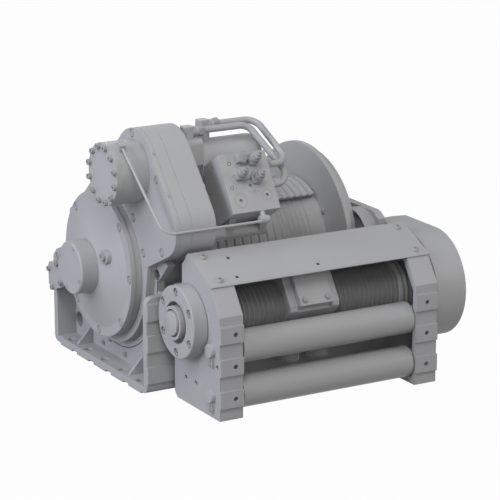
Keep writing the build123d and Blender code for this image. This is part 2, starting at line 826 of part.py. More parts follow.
# Ring gear, fixed in the tube of the rear casting
with BuildPart() as ring_gear:
    rod(ring_x, ring_x + ring_w, 0, axis_z, ring_r)
    with BuildSketch(side(ring_x)):
        with BuildLine():
            Polyline(*gear_outline(0, axis_z, ring_teeth, planet_module,
                                   quarter_turn + half_turn / ring_teeth, True),
                     close=True)
        make_face()
    extrude(amount=ring_w, mode=Mode.SUBTRACT)
ring_gear.part.label = "ring_gear"
export_step(ring_gear.part, "parts/ring_gear.step")

# Sun pinion shaft with the large input gear of the transfer case
with BuildPart() as sun_shaft:
    gear(train_x, train_w, 0, axis_z, input_teeth, gear_module, motor_angle + half_turn / input_teeth)
    rod(cover_x - cap_len + sun_end_in, ring_x + planet_gap, 0, axis_z, sun_shaft_r)
    gear(ring_x + planet_gap, ring_w - 2 * planet_gap, 0, axis_z, sun_teeth, planet_module, planet_turns[0])
sun_shaft.part.label = "sun_shaft"
export_step(sun_shaft.part, "parts/sun_shaft.step")

# Intermediate gear of the transfer case, with its journals
with BuildPart() as idler_gear:
    gear(train_x, train_w, idler_y, idler_z, idler_teeth, gear_module, motor_angle)
    rod(middle_x - journal_in + screw_end_gap, case_end_x - rear_wall_t + journal_in - screw_end_gap,
        idler_y, idler_z, idler_journal_r)
idler_gear.part.label = "idler_gear"
export_step(idler_gear.part, "parts/idler_gear.step")

# Motor shaft with the pinion and the brake discs
with BuildPart() as pinion_shaft:
    gear(train_x, train_w, motor_y, motor_z, pinion_teeth, gear_module,
         motor_angle + half_turn + half_turn / pinion_teeth)
    rod(case_x - brake_len + brake_cap_t - journal_in, case_end_x + motor_shaft_in, motor_y, motor_z,
        motor_shaft_r)
    for i in range(brake_disc_count):
        disc_x = case_x - brake_len + brake_cap_t + (i + 1) * brake_disc_pitch
        rod(disc_x - brake_disc_t, disc_x, motor_y, motor_z, brake_disc_r)
pinion_shaft.part.label = "pinion_shaft"
export_step(pinion_shaft.part, "parts/pinion_shaft.step")

# Planet carrier with three pins, and its hub in the drum web
with BuildPart() as planet_carrier:
    rod(carrier_x, carrier_x + carrier_t, 0, axis_z, carrier_r)
    rod(carrier_x + carrier_t, web_x, 0, axis_z, carrier_flange_r)
    rod(web_x, web_x + web_t, 0, axis_z, carrier_hub_r)
    for y, z in planet_places:
        rod(ring_x + planet_gap, carrier_x, y, z, planet_pin_r)
planet_carrier.part.label = "planet_carrier"
export_step(planet_carrier.part, "parts/planet_carrier.step")


def planet(i):
    """Planet gear on its carrier pin, with a tooth space towards the sun."""
    gear(ring_x + planet_gap, ring_w - 2 * planet_gap, *planet_places[i], planet_teeth, planet_module,
         planet_turns[i] + half_turn + half_turn / planet_teeth)
    bore(ring_x + planet_gap, ring_x + ring_w, *planet_places[i], planet_pin_r + run_fit)


# Three planet gears
with BuildPart() as planet_gear_1:
    planet(0)
planet_gear_1.part.label = "planet_gear_1"
export_step(planet_gear_1.part, "parts/planet_gear_1.step")
with BuildPart() as planet_gear_2:
    planet(1)
planet_gear_2.part.label = "planet_gear_2"
export_step(planet_gear_2.part, "parts/planet_gear_2.step")
with BuildPart() as planet_gear_3:
    planet(2)
planet_gear_3.part.label = "planet_gear_3"
export_step(planet_gear_3.part, "parts/planet_gear_3.step")

# Drum: grooved barrel with two flanges and two webs
drum_section = [(drum_left_x, flange_r), (drum_left_x, barrel_bore_r), (web_x, barrel_bore_r),
                (web_x, carrier_hub_r + hold_gap), (web_x + web_t, carrier_hub_r + hold_gap),
                (web_x + web_t, barrel_bore_r), (right_web_x, barrel_bore_r),
                (right_web_x, shaft_r + hold_gap),
                (right_web_x + right_web_t, shaft_r + hold_gap), (right_web_x + right_web_t, barrel_bore_r),
                (drum_right_x, barrel_bore_r), (drum_right_x, flange_r),
                (drum_right_x - right_flange_t, flange_r),
                (drum_right_x - right_flange_t, barrel_r)]
groove_xs = [groove_end_x - i * groove_pitch for i in range(groove_count)]
groove_xs += [band_end_x - i * band_pitch for i in range(band_count)]
for x in groove_xs:
    drum_section += [(x + groove_half, barrel_r), (x, barrel_r - groove_depth), (x - groove_half, barrel_r)]
drum_section += [(drum_left_x + left_flange_t, barrel_r), (drum_left_x + left_flange_t, flange_r)]
with BuildPart() as drum:
    turned(0, axis_z, drum_section)
drum.part.label = "drum"
export_step(drum.part, "parts/drum.step")

# Drum shaft from the right web through the right end frame
with BuildPart() as drum_shaft:
    rod(right_web_x - 2 * collar_w, outer_plate_x - screw_end_gap, 0, axis_z, shaft_r)
    rod(right_web_x - collar_w, right_web_x, 0, axis_z, collar_r)
drum_shaft.part.label = "drum_shaft"
export_step(drum_shaft.part, "parts/drum_shaft.step")

# Gear on the end of the drum shaft, drives the spooling device
with BuildPart() as drum_gear:
    gear(drive_gear_x, drive_gear_w, 0, axis_z, drum_gear_teeth, drive_module, idle_angle)
    bore(drive_gear_x, drive_gear_x + drive_gear_w, 0, axis_z, shaft_r + hold_gap)
drum_gear.part.label = "drum_gear"
export_step(drum_gear.part, "parts/drum_gear.step")

# Drum bearings: on the gearbox tube, and in the hub of the right end frame
with BuildPart() as drum_bearings:
    rod(left_bearing_x, left_bearing_x + bearing_w, 0, axis_z, barrel_bore_r - run_fit)
    bore(left_bearing_x, left_bearing_x + bearing_w, 0, axis_z, snout_r + hold_gap)
    rod(right_wall_x + right_bearing_in, right_wall_x + right_bearing_in + bearing_w, 0, axis_z, bearing_r)
    bore(right_wall_x + right_bearing_in, right_wall_x + right_bearing_in + bearing_w, 0, axis_z,
         shaft_r + run_fit)
drum_bearings.part.label = "drum_bearings"
export_step(drum_bearings.part, "parts/drum_bearings.step")


def bolt(x, y, z, head_r, head_h, shank_r, shank_l):
    """Bolt along X with the head on the outside of the face at x."""
    rod(x - head_h, x, y, z, head_r)
    rod(x, x + shank_l, y, z, shank_r)


# Bolts of the gearbox cover and of the transfer case
with BuildPart() as m12_bolts:
    for y, z in cover_bolts:
        bolt(cover_x + m12_sink, y, z, m12_head_r, m12_head_h, m12_shank_r,
             middle_x - cover_x - m12_sink - screw_end_gap)
    for y, z in case_bolts:
        bolt(case_x + m12_sink, y, z, m12_head_r, m12_head_h, m12_shank_r,
             case_cover_t - m12_sink - screw_end_gap)
m12_bolts.part.label = "m12_bolts"
export_step(m12_bolts.part, "parts/m12_bolts.step")

# Brake housing and its end cap, on the motor axis
brake_x = case_x - brake_len
with BuildPart() as brake_housing:
    rod(brake_x + brake_cap_t, case_x, motor_y, motor_z, brake_r)
    bore(brake_x + brake_cap_t, case_x, motor_y, motor_z, brake_r - brake_wall)
    with BuildSketch(Plane(origin=(case_x - brake_port_out, motor_y, motor_z), x_dir=(1, 0, 0),
                           z_dir=(0, cos(radians(brake_port_turn)), sin(radians(brake_port_turn))))):
        Circle(brake_port_r)
    extrude(amount=brake_r + brake_port_len)
    bore(brake_x + brake_cap_t, case_x, motor_y, motor_z, brake_r - brake_wall)
    for y, z in brake_screws:
        bore(brake_x + brake_cap_t, brake_x + m8_shank_l + screw_end_gap, y, z, m8_shank_r + slip)
brake_housing.part.label = "brake_housing"
export_step(brake_housing.part, "parts/brake_housing.step")
with BuildPart() as brake_cap:
    rod(brake_x, brake_x + brake_cap_t, motor_y, motor_z, brake_r)
    bore(brake_x + brake_cap_t - journal_in - screw_end_gap, brake_x + brake_cap_t, motor_y, motor_z,
         motor_shaft_r + run_fit)
    for y, z in brake_screws:
        bore(brake_x, brake_x + brake_cap_t, y, z, m8_shank_r + slip)
brake_cap.part.label = "brake_cap"
export_step(brake_cap.part, "parts/brake_cap.step")

# Motor with rounded end, and the port block between motor and transfer case
with BuildPart() as motor_body:
    round_turns = [radians(quarter_turn) * i / motor_round_count for i in range(motor_round_count + 1)]
    round_out = [(motor_end_x - motor_end_round * (1 - sin(turn)),
                  motor_r - motor_end_round * (1 - cos(turn))) for turn in round_turns]
    turned(motor_y, motor_z, [(port_end_x, 0), (port_end_x, motor_r)] + round_out + [(motor_end_x, 0)])
    stud(elbow_rear_x, tube_rear_y, motor_z, motor_z + port_top, port_boss_r)
motor_body.part.label = "motor_body"
export_step(motor_body.part, "parts/motor_body.step")
with BuildPart() as port_block:
    block(case_end_x, port_end_x, motor_y - port_half_w, motor_y + port_half_w, motor_z + port_low,
          motor_z + port_top)
    fillet(port_block.edges().filter_by(Axis.X).group_by(Axis.Z)[-1], port_round)
    rod(case_end_x, port_end_x, motor_y, motor_z, motor_neck_r)
    bore(case_end_x, case_end_x + motor_shaft_in + shaft_space, motor_y, motor_z, motor_shaft_r + shaft_space)
port_block.part.label = "port_block"
export_step(port_block.part, "parts/port_block.step")

# Elbow fittings of the two pressure tubes
with BuildPart() as tube_fittings:
    for x, y in ((elbow_rear_x, tube_rear_y), (elbow_front_x, tube_front_y)):
        block(x - elbow_w / 2, x + elbow_w / 2, y - elbow_w / 2, y + elbow_w / 2, motor_z + port_top,
              tube_top_z + elbow_w / 2)
    chamfer(tube_fittings.edges().filter_by(Axis.Z), elbow_edge)
    for x, y in ((elbow_rear_x, tube_rear_y), (elbow_front_x, tube_front_y)):
        rod(x, x + elbow_len, y, tube_top_z, elbow_stub_r)
tube_fittings.part.label = "tube_fittings"
export_step(tube_fittings.part, "parts/tube_fittings.step")

# Pressure tubes from the elbows to the right face of the valve block
with BuildPart() as tube_upper:
    with BuildLine():
        FilletPolyline((elbow_rear_x + elbow_len, tube_rear_y, tube_top_z),
                       (block_right_x + tube_turn_out, tube_rear_y, tube_top_z),
                       (block_right_x + tube_upper_out, *tube_upper_end), (block_right_x, *tube_upper_end),
                       radius=tube_bend)
    with BuildSketch(Plane(origin=(elbow_rear_x + elbow_len, tube_rear_y, tube_top_z), x_dir=(0, 1, 0),
                           z_dir=(1, 0, 0))):
        Circle(tube_d / 2)
    sweep()
tube_upper.part.label = "tube_upper"
export_step(tube_upper.part, "parts/tube_upper.step")
with BuildPart() as tube_lower:
    with BuildLine():
        FilletPolyline((elbow_front_x + elbow_len, tube_front_y, tube_top_z),
                       (block_right_x + tube_lower_turn_out, tube_front_y, tube_top_z),
                       (block_right_x + tube_lower_out, *tube_lower_end), (block_right_x, *tube_lower_end),
                       radius=tube_bend)
    with BuildSketch(Plane(origin=(elbow_front_x + elbow_len, tube_front_y, tube_top_z), x_dir=(0, 1, 0),
                           z_dir=(1, 0, 0))):
        Circle(tube_d / 2)
    sweep()
tube_lower.part.label = "tube_lower"
export_step(tube_lower.part, "parts/tube_lower.step")


def face_plane(x, out, down):
    """Plane square to the front of the valve block, sketch right is +X, sketch up is up the block."""
    return Plane(origin=on_block(x, out, down), x_dir=(1, 0, 0), z_dir=block_out)


# Valve block, leaning back
with BuildPart() as valve_block:
    with BuildSketch(face_plane(block_x, block_front, block_top)):
        with Locations((block_w / 2, -block_h / 2)):
            Rectangle(block_w, block_h)
    extrude(amount=-block_t)
    block(block_x, block_x + block_w, motor_y - motor_r - seat_gap, motor_y, motor_z - block_h,
          motor_z + block_h,
          Mode.SUBTRACT)
    for x, down, radius in front_plugs:
        with BuildSketch(face_plane(block_x + x, block_front, block_top + down)):
            Circle(radius)
        extrude(amount=-plug_in, mode=Mode.SUBTRACT)
    for y, z, radius in side_plugs:
        bore(block_x, block_x + plug_in, y, z, radius)
valve_block.part.label = "valve_block"
export_step(valve_block.part, "parts/valve_block.step")

# Stepped cartridge valves and the hexagon cap on the front of the valve block
with BuildPart() as cartridge_valves:
    for x, down in cartridges:
        out = block_front
        for radius, length in cartridge_steps:
            with BuildSketch(face_plane(block_x + x, out, block_top + down)):
                Circle(radius)
            extrude(amount=length)
            out += length
    with BuildSketch(face_plane(block_x + cap_nut[0], block_front, block_top + cap_nut[1])):
        RegularPolygon(cap_nut_af / 2, 6, major_radius=False, rotation=30)
    extrude(amount=cap_nut_h)
cartridge_valves.part.label = "cartridge_valves"
export_step(cartridge_valves.part, "parts/cartridge_valves.step")

# Screw plugs with hexagon sockets, flush in the valve block
with BuildPart() as valve_plugs:
    for x, down, radius in front_plugs:
        with BuildSketch(face_plane(block_x + x, block_front - plug_in, block_top + down)):
            Circle(radius - seat_gap)
            RegularPolygon(plug_socket_r, 6, mode=Mode.SUBTRACT)
        extrude(amount=plug_in)
    for y, z, radius in side_plugs:
        with BuildSketch(side(block_x)):
            with Locations((y, z)):
                Circle(radius - seat_gap)
                RegularPolygon(plug_socket_r, 6, mode=Mode.SUBTRACT)
        extrude(amount=plug_in)
valve_plugs.part.label = "valve_plugs"
export_step(valve_plugs.part, "parts/valve_plugs.step")

# Round support bar on the transfer case, with two lugs under the valve block
block_low = block_top + block_h + seat_gap
support_y, support_z = on_block(0, support_out, block_low + support_r)[1:]
lug_back, lug_front = [on_block(0, out, block_low)[1:] for out in bracket_lug_out]
with BuildPart() as valve_bracket:
    rod(case_end_x, block_right_x - bar_end_in, support_y, support_z, support_r)
    for x in [block_x + lug_in for lug_in in bracket_lug_in]:
        slab(x, x + bracket_lug_w, [lug_back, lug_front,
                                    away(support_y, support_z, block_angle + half_turn, support_r),
                                    (support_y, support_z)])
valve_bracket.part.label = "valve_bracket"
export_step(valve_bracket.part, "parts/valve_bracket.step")

# Thin tube from the brake port to the underside of the valve block, with its end fitting
fitting_x = block_x + brake_tube_end_in
port_tip = away(motor_y, motor_z, brake_port_turn, brake_r + brake_port_len + banjo_len / 2)
with BuildPart() as brake_tube:
    with BuildLine() as brake_way:
        FilletPolyline((case_x - brake_port_out, *port_tip),
                       (case_x - brake_tube_turn_out, brake_tube_y, brake_tube_z),
                       (fitting_x, brake_tube_y, brake_tube_z), radius=tube_bend)
    with BuildSketch(Plane(origin=brake_way.line @ 0, z_dir=brake_way.line % 0)):
        Circle(brake_tube_d / 2)
    sweep()
    with BuildSketch(Plane(origin=(case_x - brake_port_out, *away(motor_y, motor_z, brake_port_turn,
                                                       brake_r + brake_port_len)),
                           x_dir=(1, 0, 0), z_dir=(0, cos(radians(brake_port_turn)),
                                                   sin(radians(brake_port_turn))))):
        Circle(brake_port_r)
    extrude(amount=banjo_len)
    rod(fitting_x, fitting_x + end_fitting_len, end_fitting_y, end_fitting_z, end_fitting_r)
    stub_down = (end_fitting_y - motor_y) * block_down[1] + (end_fitting_z - motor_z) * block_down[2]
    with BuildSketch(Plane(origin=(fitting_x + end_fitting_len / 2, end_fitting_y, end_fitting_z),
                           x_dir=(1, 0, 0), z_dir=(0, -block_down[1], -block_down[2]))):
        Circle(end_stub_r)
    extrude(amount=stub_down - block_top - block_h)
brake_tube.part.label = "brake_tube"
export_step(brake_tube.part, "parts/brake_tube.step")

# Left cheek of the spooling device
with BuildPart() as left_cheek:
    slab(left_cheek_x, left_cheek_in, cheek_outline)
    slab(left_cheek_x + cheek_wall, left_cheek_in, cheek_pocket, Mode.SUBTRACT)
    block(left_cheek_x, left_cheek_in, front_y, front_y + front_recess, 0, cheek_outline[2][1], Mode.SUBTRACT)
    for z in cheek_pads:
        block(left_cheek_x, left_cheek_in, front_y, front_y + pad_in, z - pad_h / 2, z + pad_h / 2)
    for z in pad_zs:
        block(left_front_x - back_pad_w, left_front_x, cheek_back_y - back_pad_in,
              -frame_half_depth - pad_t, z - pad_h / 2, z + pad_h / 2)
    for y, z in rollers:
        rod(left_cheek_x, left_cheek_in, y, z, boss_r)
    rod(left_cheek_x, left_cheek_in, spindle_y, spindle_z, housing_boss_r)
    for y, z in rollers:
        bore(left_cheek_x, left_cheek_in, y, z, roller_axle_r + hold_gap)
    bore(left_cheek_x, left_cheek_in, spindle_y, spindle_z, spindle_r + spindle_space)
    bore(left_cheek_x + cheek_wall, left_cheek_in, guide_rod_y, guide_rod_z, guide_rod_r + hold_gap)
    for y, z in plain_holes:
        bore(left_cheek_x, left_cheek_x + cheek_wall, y, z, plain_hole_r)
    for z in cheek_pads:
        with BuildSketch(Plane(origin=(left_cheek_x + cheek_hole_x, front_y, z), x_dir=(1, 0, 0),
                               z_dir=(0, -1, 0))):
            Circle(pad_hole_d / 2)
        extrude(amount=-cheek_wall, mode=Mode.SUBTRACT)
left_cheek.part.label = "left_cheek"
export_step(left_cheek.part, "parts/left_cheek.step")

# Right cheek, between the rollers and the chain cover
with BuildPart() as right_cheek:
    slab(right_cheek_x, right_cheek_out, cheek_outline)
    slab(right_cheek_x, right_cheek_out - cheek_wall, cheek_pocket, Mode.SUBTRACT)
    block(right_cheek_x, right_cheek_out, front_y, front_y + front_recess, 0, cheek_outline[2][1],
          Mode.SUBTRACT)
    for z in cheek_pads:
        block(right_cheek_x, right_cheek_out, front_y, front_y + pad_in, z - pad_h / 2, z + pad_h / 2)
    for z in pad_zs:
        block(right_cheek_x, right_cheek_out, cheek_back_y - back_pad_in, -frame_half_depth - pad_t,
              z - pad_h / 2, z + pad_h / 2)
    for y, z in rollers:
        rod(right_cheek_x, right_cheek_out, y, z, boss_r)
    rod(right_cheek_x, right_cheek_out, spindle_y, spindle_z, housing_boss_r)
    for y, z in rollers:
        bore(right_cheek_x, right_cheek_out, y, z, roller_axle_r + hold_gap)
    bore(right_cheek_x, right_cheek_out, spindle_y, spindle_z, spindle_r + run_fit)
    bore(right_cheek_x, right_cheek_out - cheek_wall, guide_rod_y, guide_rod_z, guide_rod_r + hold_gap)
    slab(right_cheek_x, outer_plate_x, guard_room, Mode.SUBTRACT)
    for z in cheek_pads:
        with BuildSketch(Plane(origin=(right_cheek_x + cheek_w / 2, front_y, z), x_dir=(1, 0, 0),
                               z_dir=(0, -1, 0))):
            Circle(pad_hole_d / 2)
        extrude(amount=-cheek_wall, mode=Mode.SUBTRACT)
right_cheek.part.label = "right_cheek"
export_step(right_cheek.part, "parts/right_cheek.step")


def mitre(corner, before, after, thick):
    """Corner point moved outwards by a sheet thickness, between two edge directions."""
    normal_a = (-(corner[1] - before[1]), corner[0] - before[0])
    normal_b = (-(after[1] - corner[1]), after[0] - corner[0])
    len_a, len_b = hypot(*normal_a), hypot(*normal_b)
    sum_y = normal_a[0] / len_a + normal_b[0] / len_b
    sum_z = normal_a[1] / len_a + normal_b[1] / len_b
    scale = 2 * thick / (sum_y ** 2 + sum_z ** 2)
    return (corner[0] + scale * sum_y, corner[1] + scale * sum_z)


# Sheet cover on the slopes of both cheeks, front edge folded down
bevel, fold, ridge, drop = cheek_outline[1:5]
fold_turn = degrees(atan2(bevel[1] - fold[1], bevel[0] - fold[0]))
fold_low = away(*fold, fold_turn, sheet_lip)
fold_low_out = away(*fold_low, fold_turn - 90, cover_sheet_t)
drop_turn = degrees(atan2(drop[1] - ridge[1], drop[0] - ridge[0]))
drop_low = away(*ridge, drop_turn, sheet_fold)
drop_low_out = away(*drop_low, drop_turn + 90, cover_sheet_t)
with BuildPart() as top_cover:
    slab(left_cheek_x, right_cheek_out,
         [fold_low, fold, ridge, drop_low, drop_low_out, mitre(ridge, fold, drop, cover_sheet_t),
          mitre(fold, bevel, ridge, cover_sheet_t), fold_low_out])
top_cover.part.label = "top_cover"
export_step(top_cover.part, "parts/top_cover.step")

# Round-headed screws of the top cover
slope_turn = degrees(atan2(ridge[1] - fold[1], ridge[0] - fold[0])) + 90
with BuildPart() as top_cover_screws:
    for x in (left_cheek_x + cover_screw_in, right_cheek_out - cover_screw_in):
        for share in cover_screw_shares:
            seat = (fold[0] + share * (ridge[0] - fold[0]), fold[1] + share * (ridge[1] - fold[1]))
            with BuildSketch(Plane(origin=(x, *away(*seat, slope_turn, cover_sheet_t)), x_dir=(1, 0, 0),
                                   z_dir=(0, cos(radians(slope_turn)), sin(radians(slope_turn))))):
                Circle(m8_head_r)
            extrude(amount=m8_head_h / 2)
top_cover_screws.part.label = "top_cover_screws"
export_step(top_cover_screws.part, "parts/top_cover_screws.step")

# Flat plate that ties the cheeks together at the bottom
with BuildPart() as lower_tie_plate:
    block(left_cheek_in, right_cheek_x, tie_plate_y - tie_plate_t, tie_plate_y, tie_plate_bottom,
          tie_plate_top)
lower_tie_plate.part.label = "lower_tie_plate"
export_step(lower_tie_plate.part, "parts/lower_tie_plate.step")

# Bearing housing of the spindle, on the outside of the left cheek
with BuildPart() as spindle_housing:
    rod(housing_x, left_cheek_x, spindle_y, spindle_z, housing_r)
    bore(housing_x, housing_x + housing_len / 2, spindle_y, spindle_z, housing_recess_r)
    bore(housing_x, left_cheek_x, spindle_y, spindle_z, spindle_r + run_fit)
    for y, z in housing_bolts:
        bore(housing_x, housing_x + housing_sink, y, z, m12_head_r + slip)
        bore(housing_x, left_cheek_x, y, z, m8_shank_r + slip)
    end_circles = spindle_housing.edges().filter_by(GeomType.CIRCLE).filter_by(
        lambda e: e.radius > housing_r - 1)
    chamfer(end_circles, housing_chamfer)
spindle_housing.part.label = "spindle_housing"
export_step(spindle_housing.part, "parts/spindle_housing.step")

# Cap screws: brake cap, and counterbored in the spindle housing
with BuildPart() as cap_screws:
    for y, z in brake_screws:
        bolt(brake_x, y, z, m8_head_r, m8_head_h, m8_shank_r, m8_shank_l)
    for y, z in housing_bolts:
        bolt(housing_x + housing_sink, y, z, m8_head_r, m8_head_h, m8_shank_r, m8_shank_l)
cap_screws.part.label = "cap_screws"
export_step(cap_screws.part, "parts/cap_screws.step")

# Axles of the two horizontal rollers, and the keeper plates that hold them
with BuildPart() as roller_axles:
    for y, z in rollers:
        rod(left_cheek_x, right_cheek_out, y, z, roller_axle_r)
roller_axles.part.label = "roller_axles"
export_step(roller_axles.part, "parts/roller_axles.step")
with BuildPart() as keeper_plates:
    for y, z in rollers:
        near = (y + keeper_near[0], z + keeper_near[1], keeper_r)
        far = (y + keeper_far[0], z + keeper_far[1], keeper_r)
        with BuildSketch(side(left_cheek_x - keeper_t)):
            racetrack(near, far)
        extrude(amount=keeper_t)
        rod(left_cheek_x - 2 * keeper_t, left_cheek_x - keeper_t, near[0], near[1], keeper_screw_r)
        rod(left_cheek_x - 2 * keeper_t, left_cheek_x - keeper_t, far[0], far[1], keeper_screw_r)
keeper_plates.part.label = "keeper_plates"
export_step(keeper_plates.part, "parts/keeper_plates.step")

# Guide rod of the carriage, between the cheeks
with BuildPart() as guide_rod:
    rod(left_cheek_x + cheek_wall, right_cheek_out - cheek_wall, guide_rod_y, guide_rod_z, guide_rod_r)
guide_rod.part.label = "guide_rod"
export_step(guide_rod.part, "parts/guide_rod.step")

# Two horizontal rope rollers
with BuildPart() as upper_roller:
    rod(left_cheek_in + roller_end_gap, right_cheek_x - roller_end_gap, roller_y, upper_roller_z, roller_r)
    bore(left_cheek_in + roller_end_gap, right_cheek_x - roller_end_gap, roller_y, upper_roller_z,
         roller_axle_r + run_fit)
upper_roller.part.label = "upper_roller"
export_step(upper_roller.part, "parts/upper_roller.step")
with BuildPart() as lower_roller:
    rod(left_cheek_in + roller_end_gap, right_cheek_x - roller_end_gap, roller_y, lower_roller_z, roller_r)
    bore(left_cheek_in + roller_end_gap, right_cheek_x - roller_end_gap, roller_y, lower_roller_z,
         roller_axle_r + run_fit)
lower_roller.part.label = "lower_roller"
export_step(lower_roller.part, "parts/lower_roller.step")

# Carriage that follows the rope: side strips, recessed middle, studs of the two upright rollers
slant_low, slant_high = carriage_outline[0], carriage_outline[1]
slant_turn = degrees(atan2(slant_high[1] - slant_low[1], slant_high[0] - slant_low[0]))
seat_low = away(*slant_low, slant_turn - 90, carriage_recess)
seat_high = away(*slant_high, slant_turn - 90, carriage_recess)
recess_low = away(*seat_low, slant_turn, -plate_t)
recess_high = away(*seat_high, slant_turn, plate_t)
with BuildPart() as carriage:
    slab(carriage_x - carriage_w / 2, carriage_x + carriage_w / 2, carriage_outline)
    slab(carriage_x - carriage_w / 2 + carriage_strip_w, carriage_x + carriage_w / 2 - carriage_strip_w,
         [recess_low, recess_high, away(*recess_high, slant_turn + 90, plate_t),
          away(*recess_low, slant_turn + 90, plate_t)], Mode.SUBTRACT)
    bore(carriage_x - carriage_w / 2, carriage_x + carriage_w / 2, spindle_y, spindle_z, spindle_r + run_fit)
    bore(carriage_x - carriage_w / 2, carriage_x + carriage_w / 2, guide_rod_y, guide_rod_z,
         guide_rod_r + run_fit)
    for x in (carriage_x - guide_offset, carriage_x + guide_offset):
        stud(x, guide_roller_y, guide_roller_low - collar_gap, carriage_bottom, stud_r)
        stud(x, guide_roller_y, guide_roller_top + collar_gap, carriage_bottom, washer_r)
        stud(x, guide_roller_y, guide_roller_low - collar_gap - washer_t, guide_roller_low - collar_gap,
             washer_r)
carriage.part.label = "carriage"
export_step(carriage.part, "parts/carriage.step")

# Plate on the slanted front of the carriage, with its four screws
plate_low = away(*seat_low, slant_turn, -plate_gap / 2)
plate_high = away(*seat_high, slant_turn, plate_gap / 2)
plate_low_out = away(*plate_low, slant_turn + 90, plate_t)
plate_high_out = away(*plate_high, slant_turn + 90, plate_t)
with BuildPart() as carriage_cover:
    slab(carriage_x - plate_w / 2, carriage_x + plate_w / 2,
         [plate_low, plate_high, plate_high_out, plate_low_out])
carriage_cover.part.label = "carriage_cover"
export_step(carriage_cover.part, "parts/carriage_cover.step")
with BuildPart() as carriage_screws:
    for x in (carriage_x - plate_w / 2 + carriage_screw_in, carriage_x + plate_w / 2 - carriage_screw_in):
        for place, step in ((plate_low_out, carriage_screw_in), (plate_high_out, -carriage_screw_in)):
            with BuildSketch(Plane(origin=(x, *away(*place, slant_turn, step)), x_dir=(1, 0, 0),
                                   z_dir=(0, cos(radians(slant_turn + 90)), sin(radians(slant_turn + 90))))):
                Circle(carriage_screw_r)
            extrude(amount=carriage_screw_h)
carriage_screws.part.label = "carriage_screws"
export_step(carriage_screws.part, "parts/carriage_screws.step")

# Two upright guide rollers under the carriage
with BuildPart() as guide_roller_left:
    stud(carriage_x - guide_offset, guide_roller_y, guide_roller_low, guide_roller_top, guide_roller_r)
    stud(carriage_x - guide_offset, guide_roller_y, guide_roller_low, guide_roller_top,
         stud_r + run_fit, Mode.SUBTRACT)
guide_roller_left.part.label = "guide_roller_left"
export_step(guide_roller_left.part, "parts/guide_roller_left.step")
with BuildPart() as guide_roller_right:
    stud(carriage_x + guide_offset, guide_roller_y, guide_roller_low, guide_roller_top, guide_roller_r)
    stud(carriage_x + guide_offset, guide_roller_y, guide_roller_low, guide_roller_top,
         stud_r + run_fit, Mode.SUBTRACT)
guide_roller_right.part.label = "guide_roller_right"
export_step(guide_roller_right.part, "parts/guide_roller_right.step")


def bellows_section(x0, x1):
    """Half section of a bellows between two faces."""
    folds = int((x1 - x0 - 2 * bellows_end) / bellows_pitch)
    step = (x1 - x0 - 2 * bellows_end) / folds
    points = [(x0, bellows_inner_r - bellows_wall), (x1, bellows_inner_r - bellows_wall), (x1, bellows_r)]
    for i in range(folds):
        fold_x = x1 - bellows_end - i * step
        points += [(fold_x, bellows_r), (fold_x - step / 2, bellows_inner_r)]
    return points + [(x0 + bellows_end, bellows_r), (x0, bellows_r)]


# Bellows over the spindle, at the left and right of the carriage
with BuildPart() as left_bellows:
    turned(spindle_y, spindle_z, bellows_section(left_cheek_in, carriage_x - carriage_w / 2))
left_bellows.part.label = "left_bellows"
export_step(left_bellows.part, "parts/left_bellows.step")
with BuildPart() as right_bellows:
    turned(spindle_y, spindle_z, bellows_section(carriage_x + carriage_w / 2, right_cheek_x))
right_bellows.part.label = "right_bellows"
export_step(right_bellows.part, "parts/right_bellows.step")

# Reversing spindle with its round nut and chain wheel
with BuildPart() as reversing_spindle:
    rod(nut_x + nut_w / 2, sprocket_x + sprocket_w, spindle_y, spindle_z, spindle_r)
    rod(nut_x, nut_x + nut_w, spindle_y, spindle_z, nut_r)
    bore(nut_x, nut_x + nut_w / 2, spindle_y, spindle_z, nut_inner_r)
    rod(sprocket_x, sprocket_x + sprocket_w, spindle_y, spindle_z, sprocket_large_r)
reversing_spindle.part.label = "reversing_spindle"
export_step(reversing_spindle.part, "parts/reversing_spindle.step")

# Intermediate gear with shaft and small chain wheel
with BuildPart() as intermediate_gear:
    gear(drive_gear_x, drive_gear_w, idle_y, idle_z, idle_gear_teeth, drive_module,
         idle_angle + half_turn + half_turn / idle_gear_teeth)
    rod(right_wall_x, sprocket_x + sprocket_w, idle_y, idle_z, idle_shaft_r)
    rod(sprocket_x, sprocket_x + sprocket_w, idle_y, idle_z, sprocket_r)
intermediate_gear.part.label = "intermediate_gear"
export_step(intermediate_gear.part, "parts/intermediate_gear.step")

# Chain between the two chain wheels
with BuildPart() as drive_chain:
    with BuildSketch(side(sprocket_x + (sprocket_w - chain_w) / 2)):
        racetrack((spindle_y, spindle_z, sprocket_large_r + chain_t), (idle_y, idle_z, sprocket_r + chain_t))
        racetrack((spindle_y, spindle_z, sprocket_large_r + run_fit),
                  (idle_y, idle_z, sprocket_r + run_fit), Mode.SUBTRACT)
    extrude(amount=chain_w)
drive_chain.part.label = "drive_chain"
export_step(drive_chain.part, "parts/drive_chain.step")


def chain_outline():
    """Outline of the chain cover: round front lobe, flat top and slanted back."""
    with BuildLine() as edge:
        lobe = CenterArc((spindle_y, spindle_z), chain_cover_r, chain_lobe_start, chain_lobe_arc)
        Polyline(lobe @ 1, *chain_cover_back, lobe @ 0)
    make_face(edge.line)


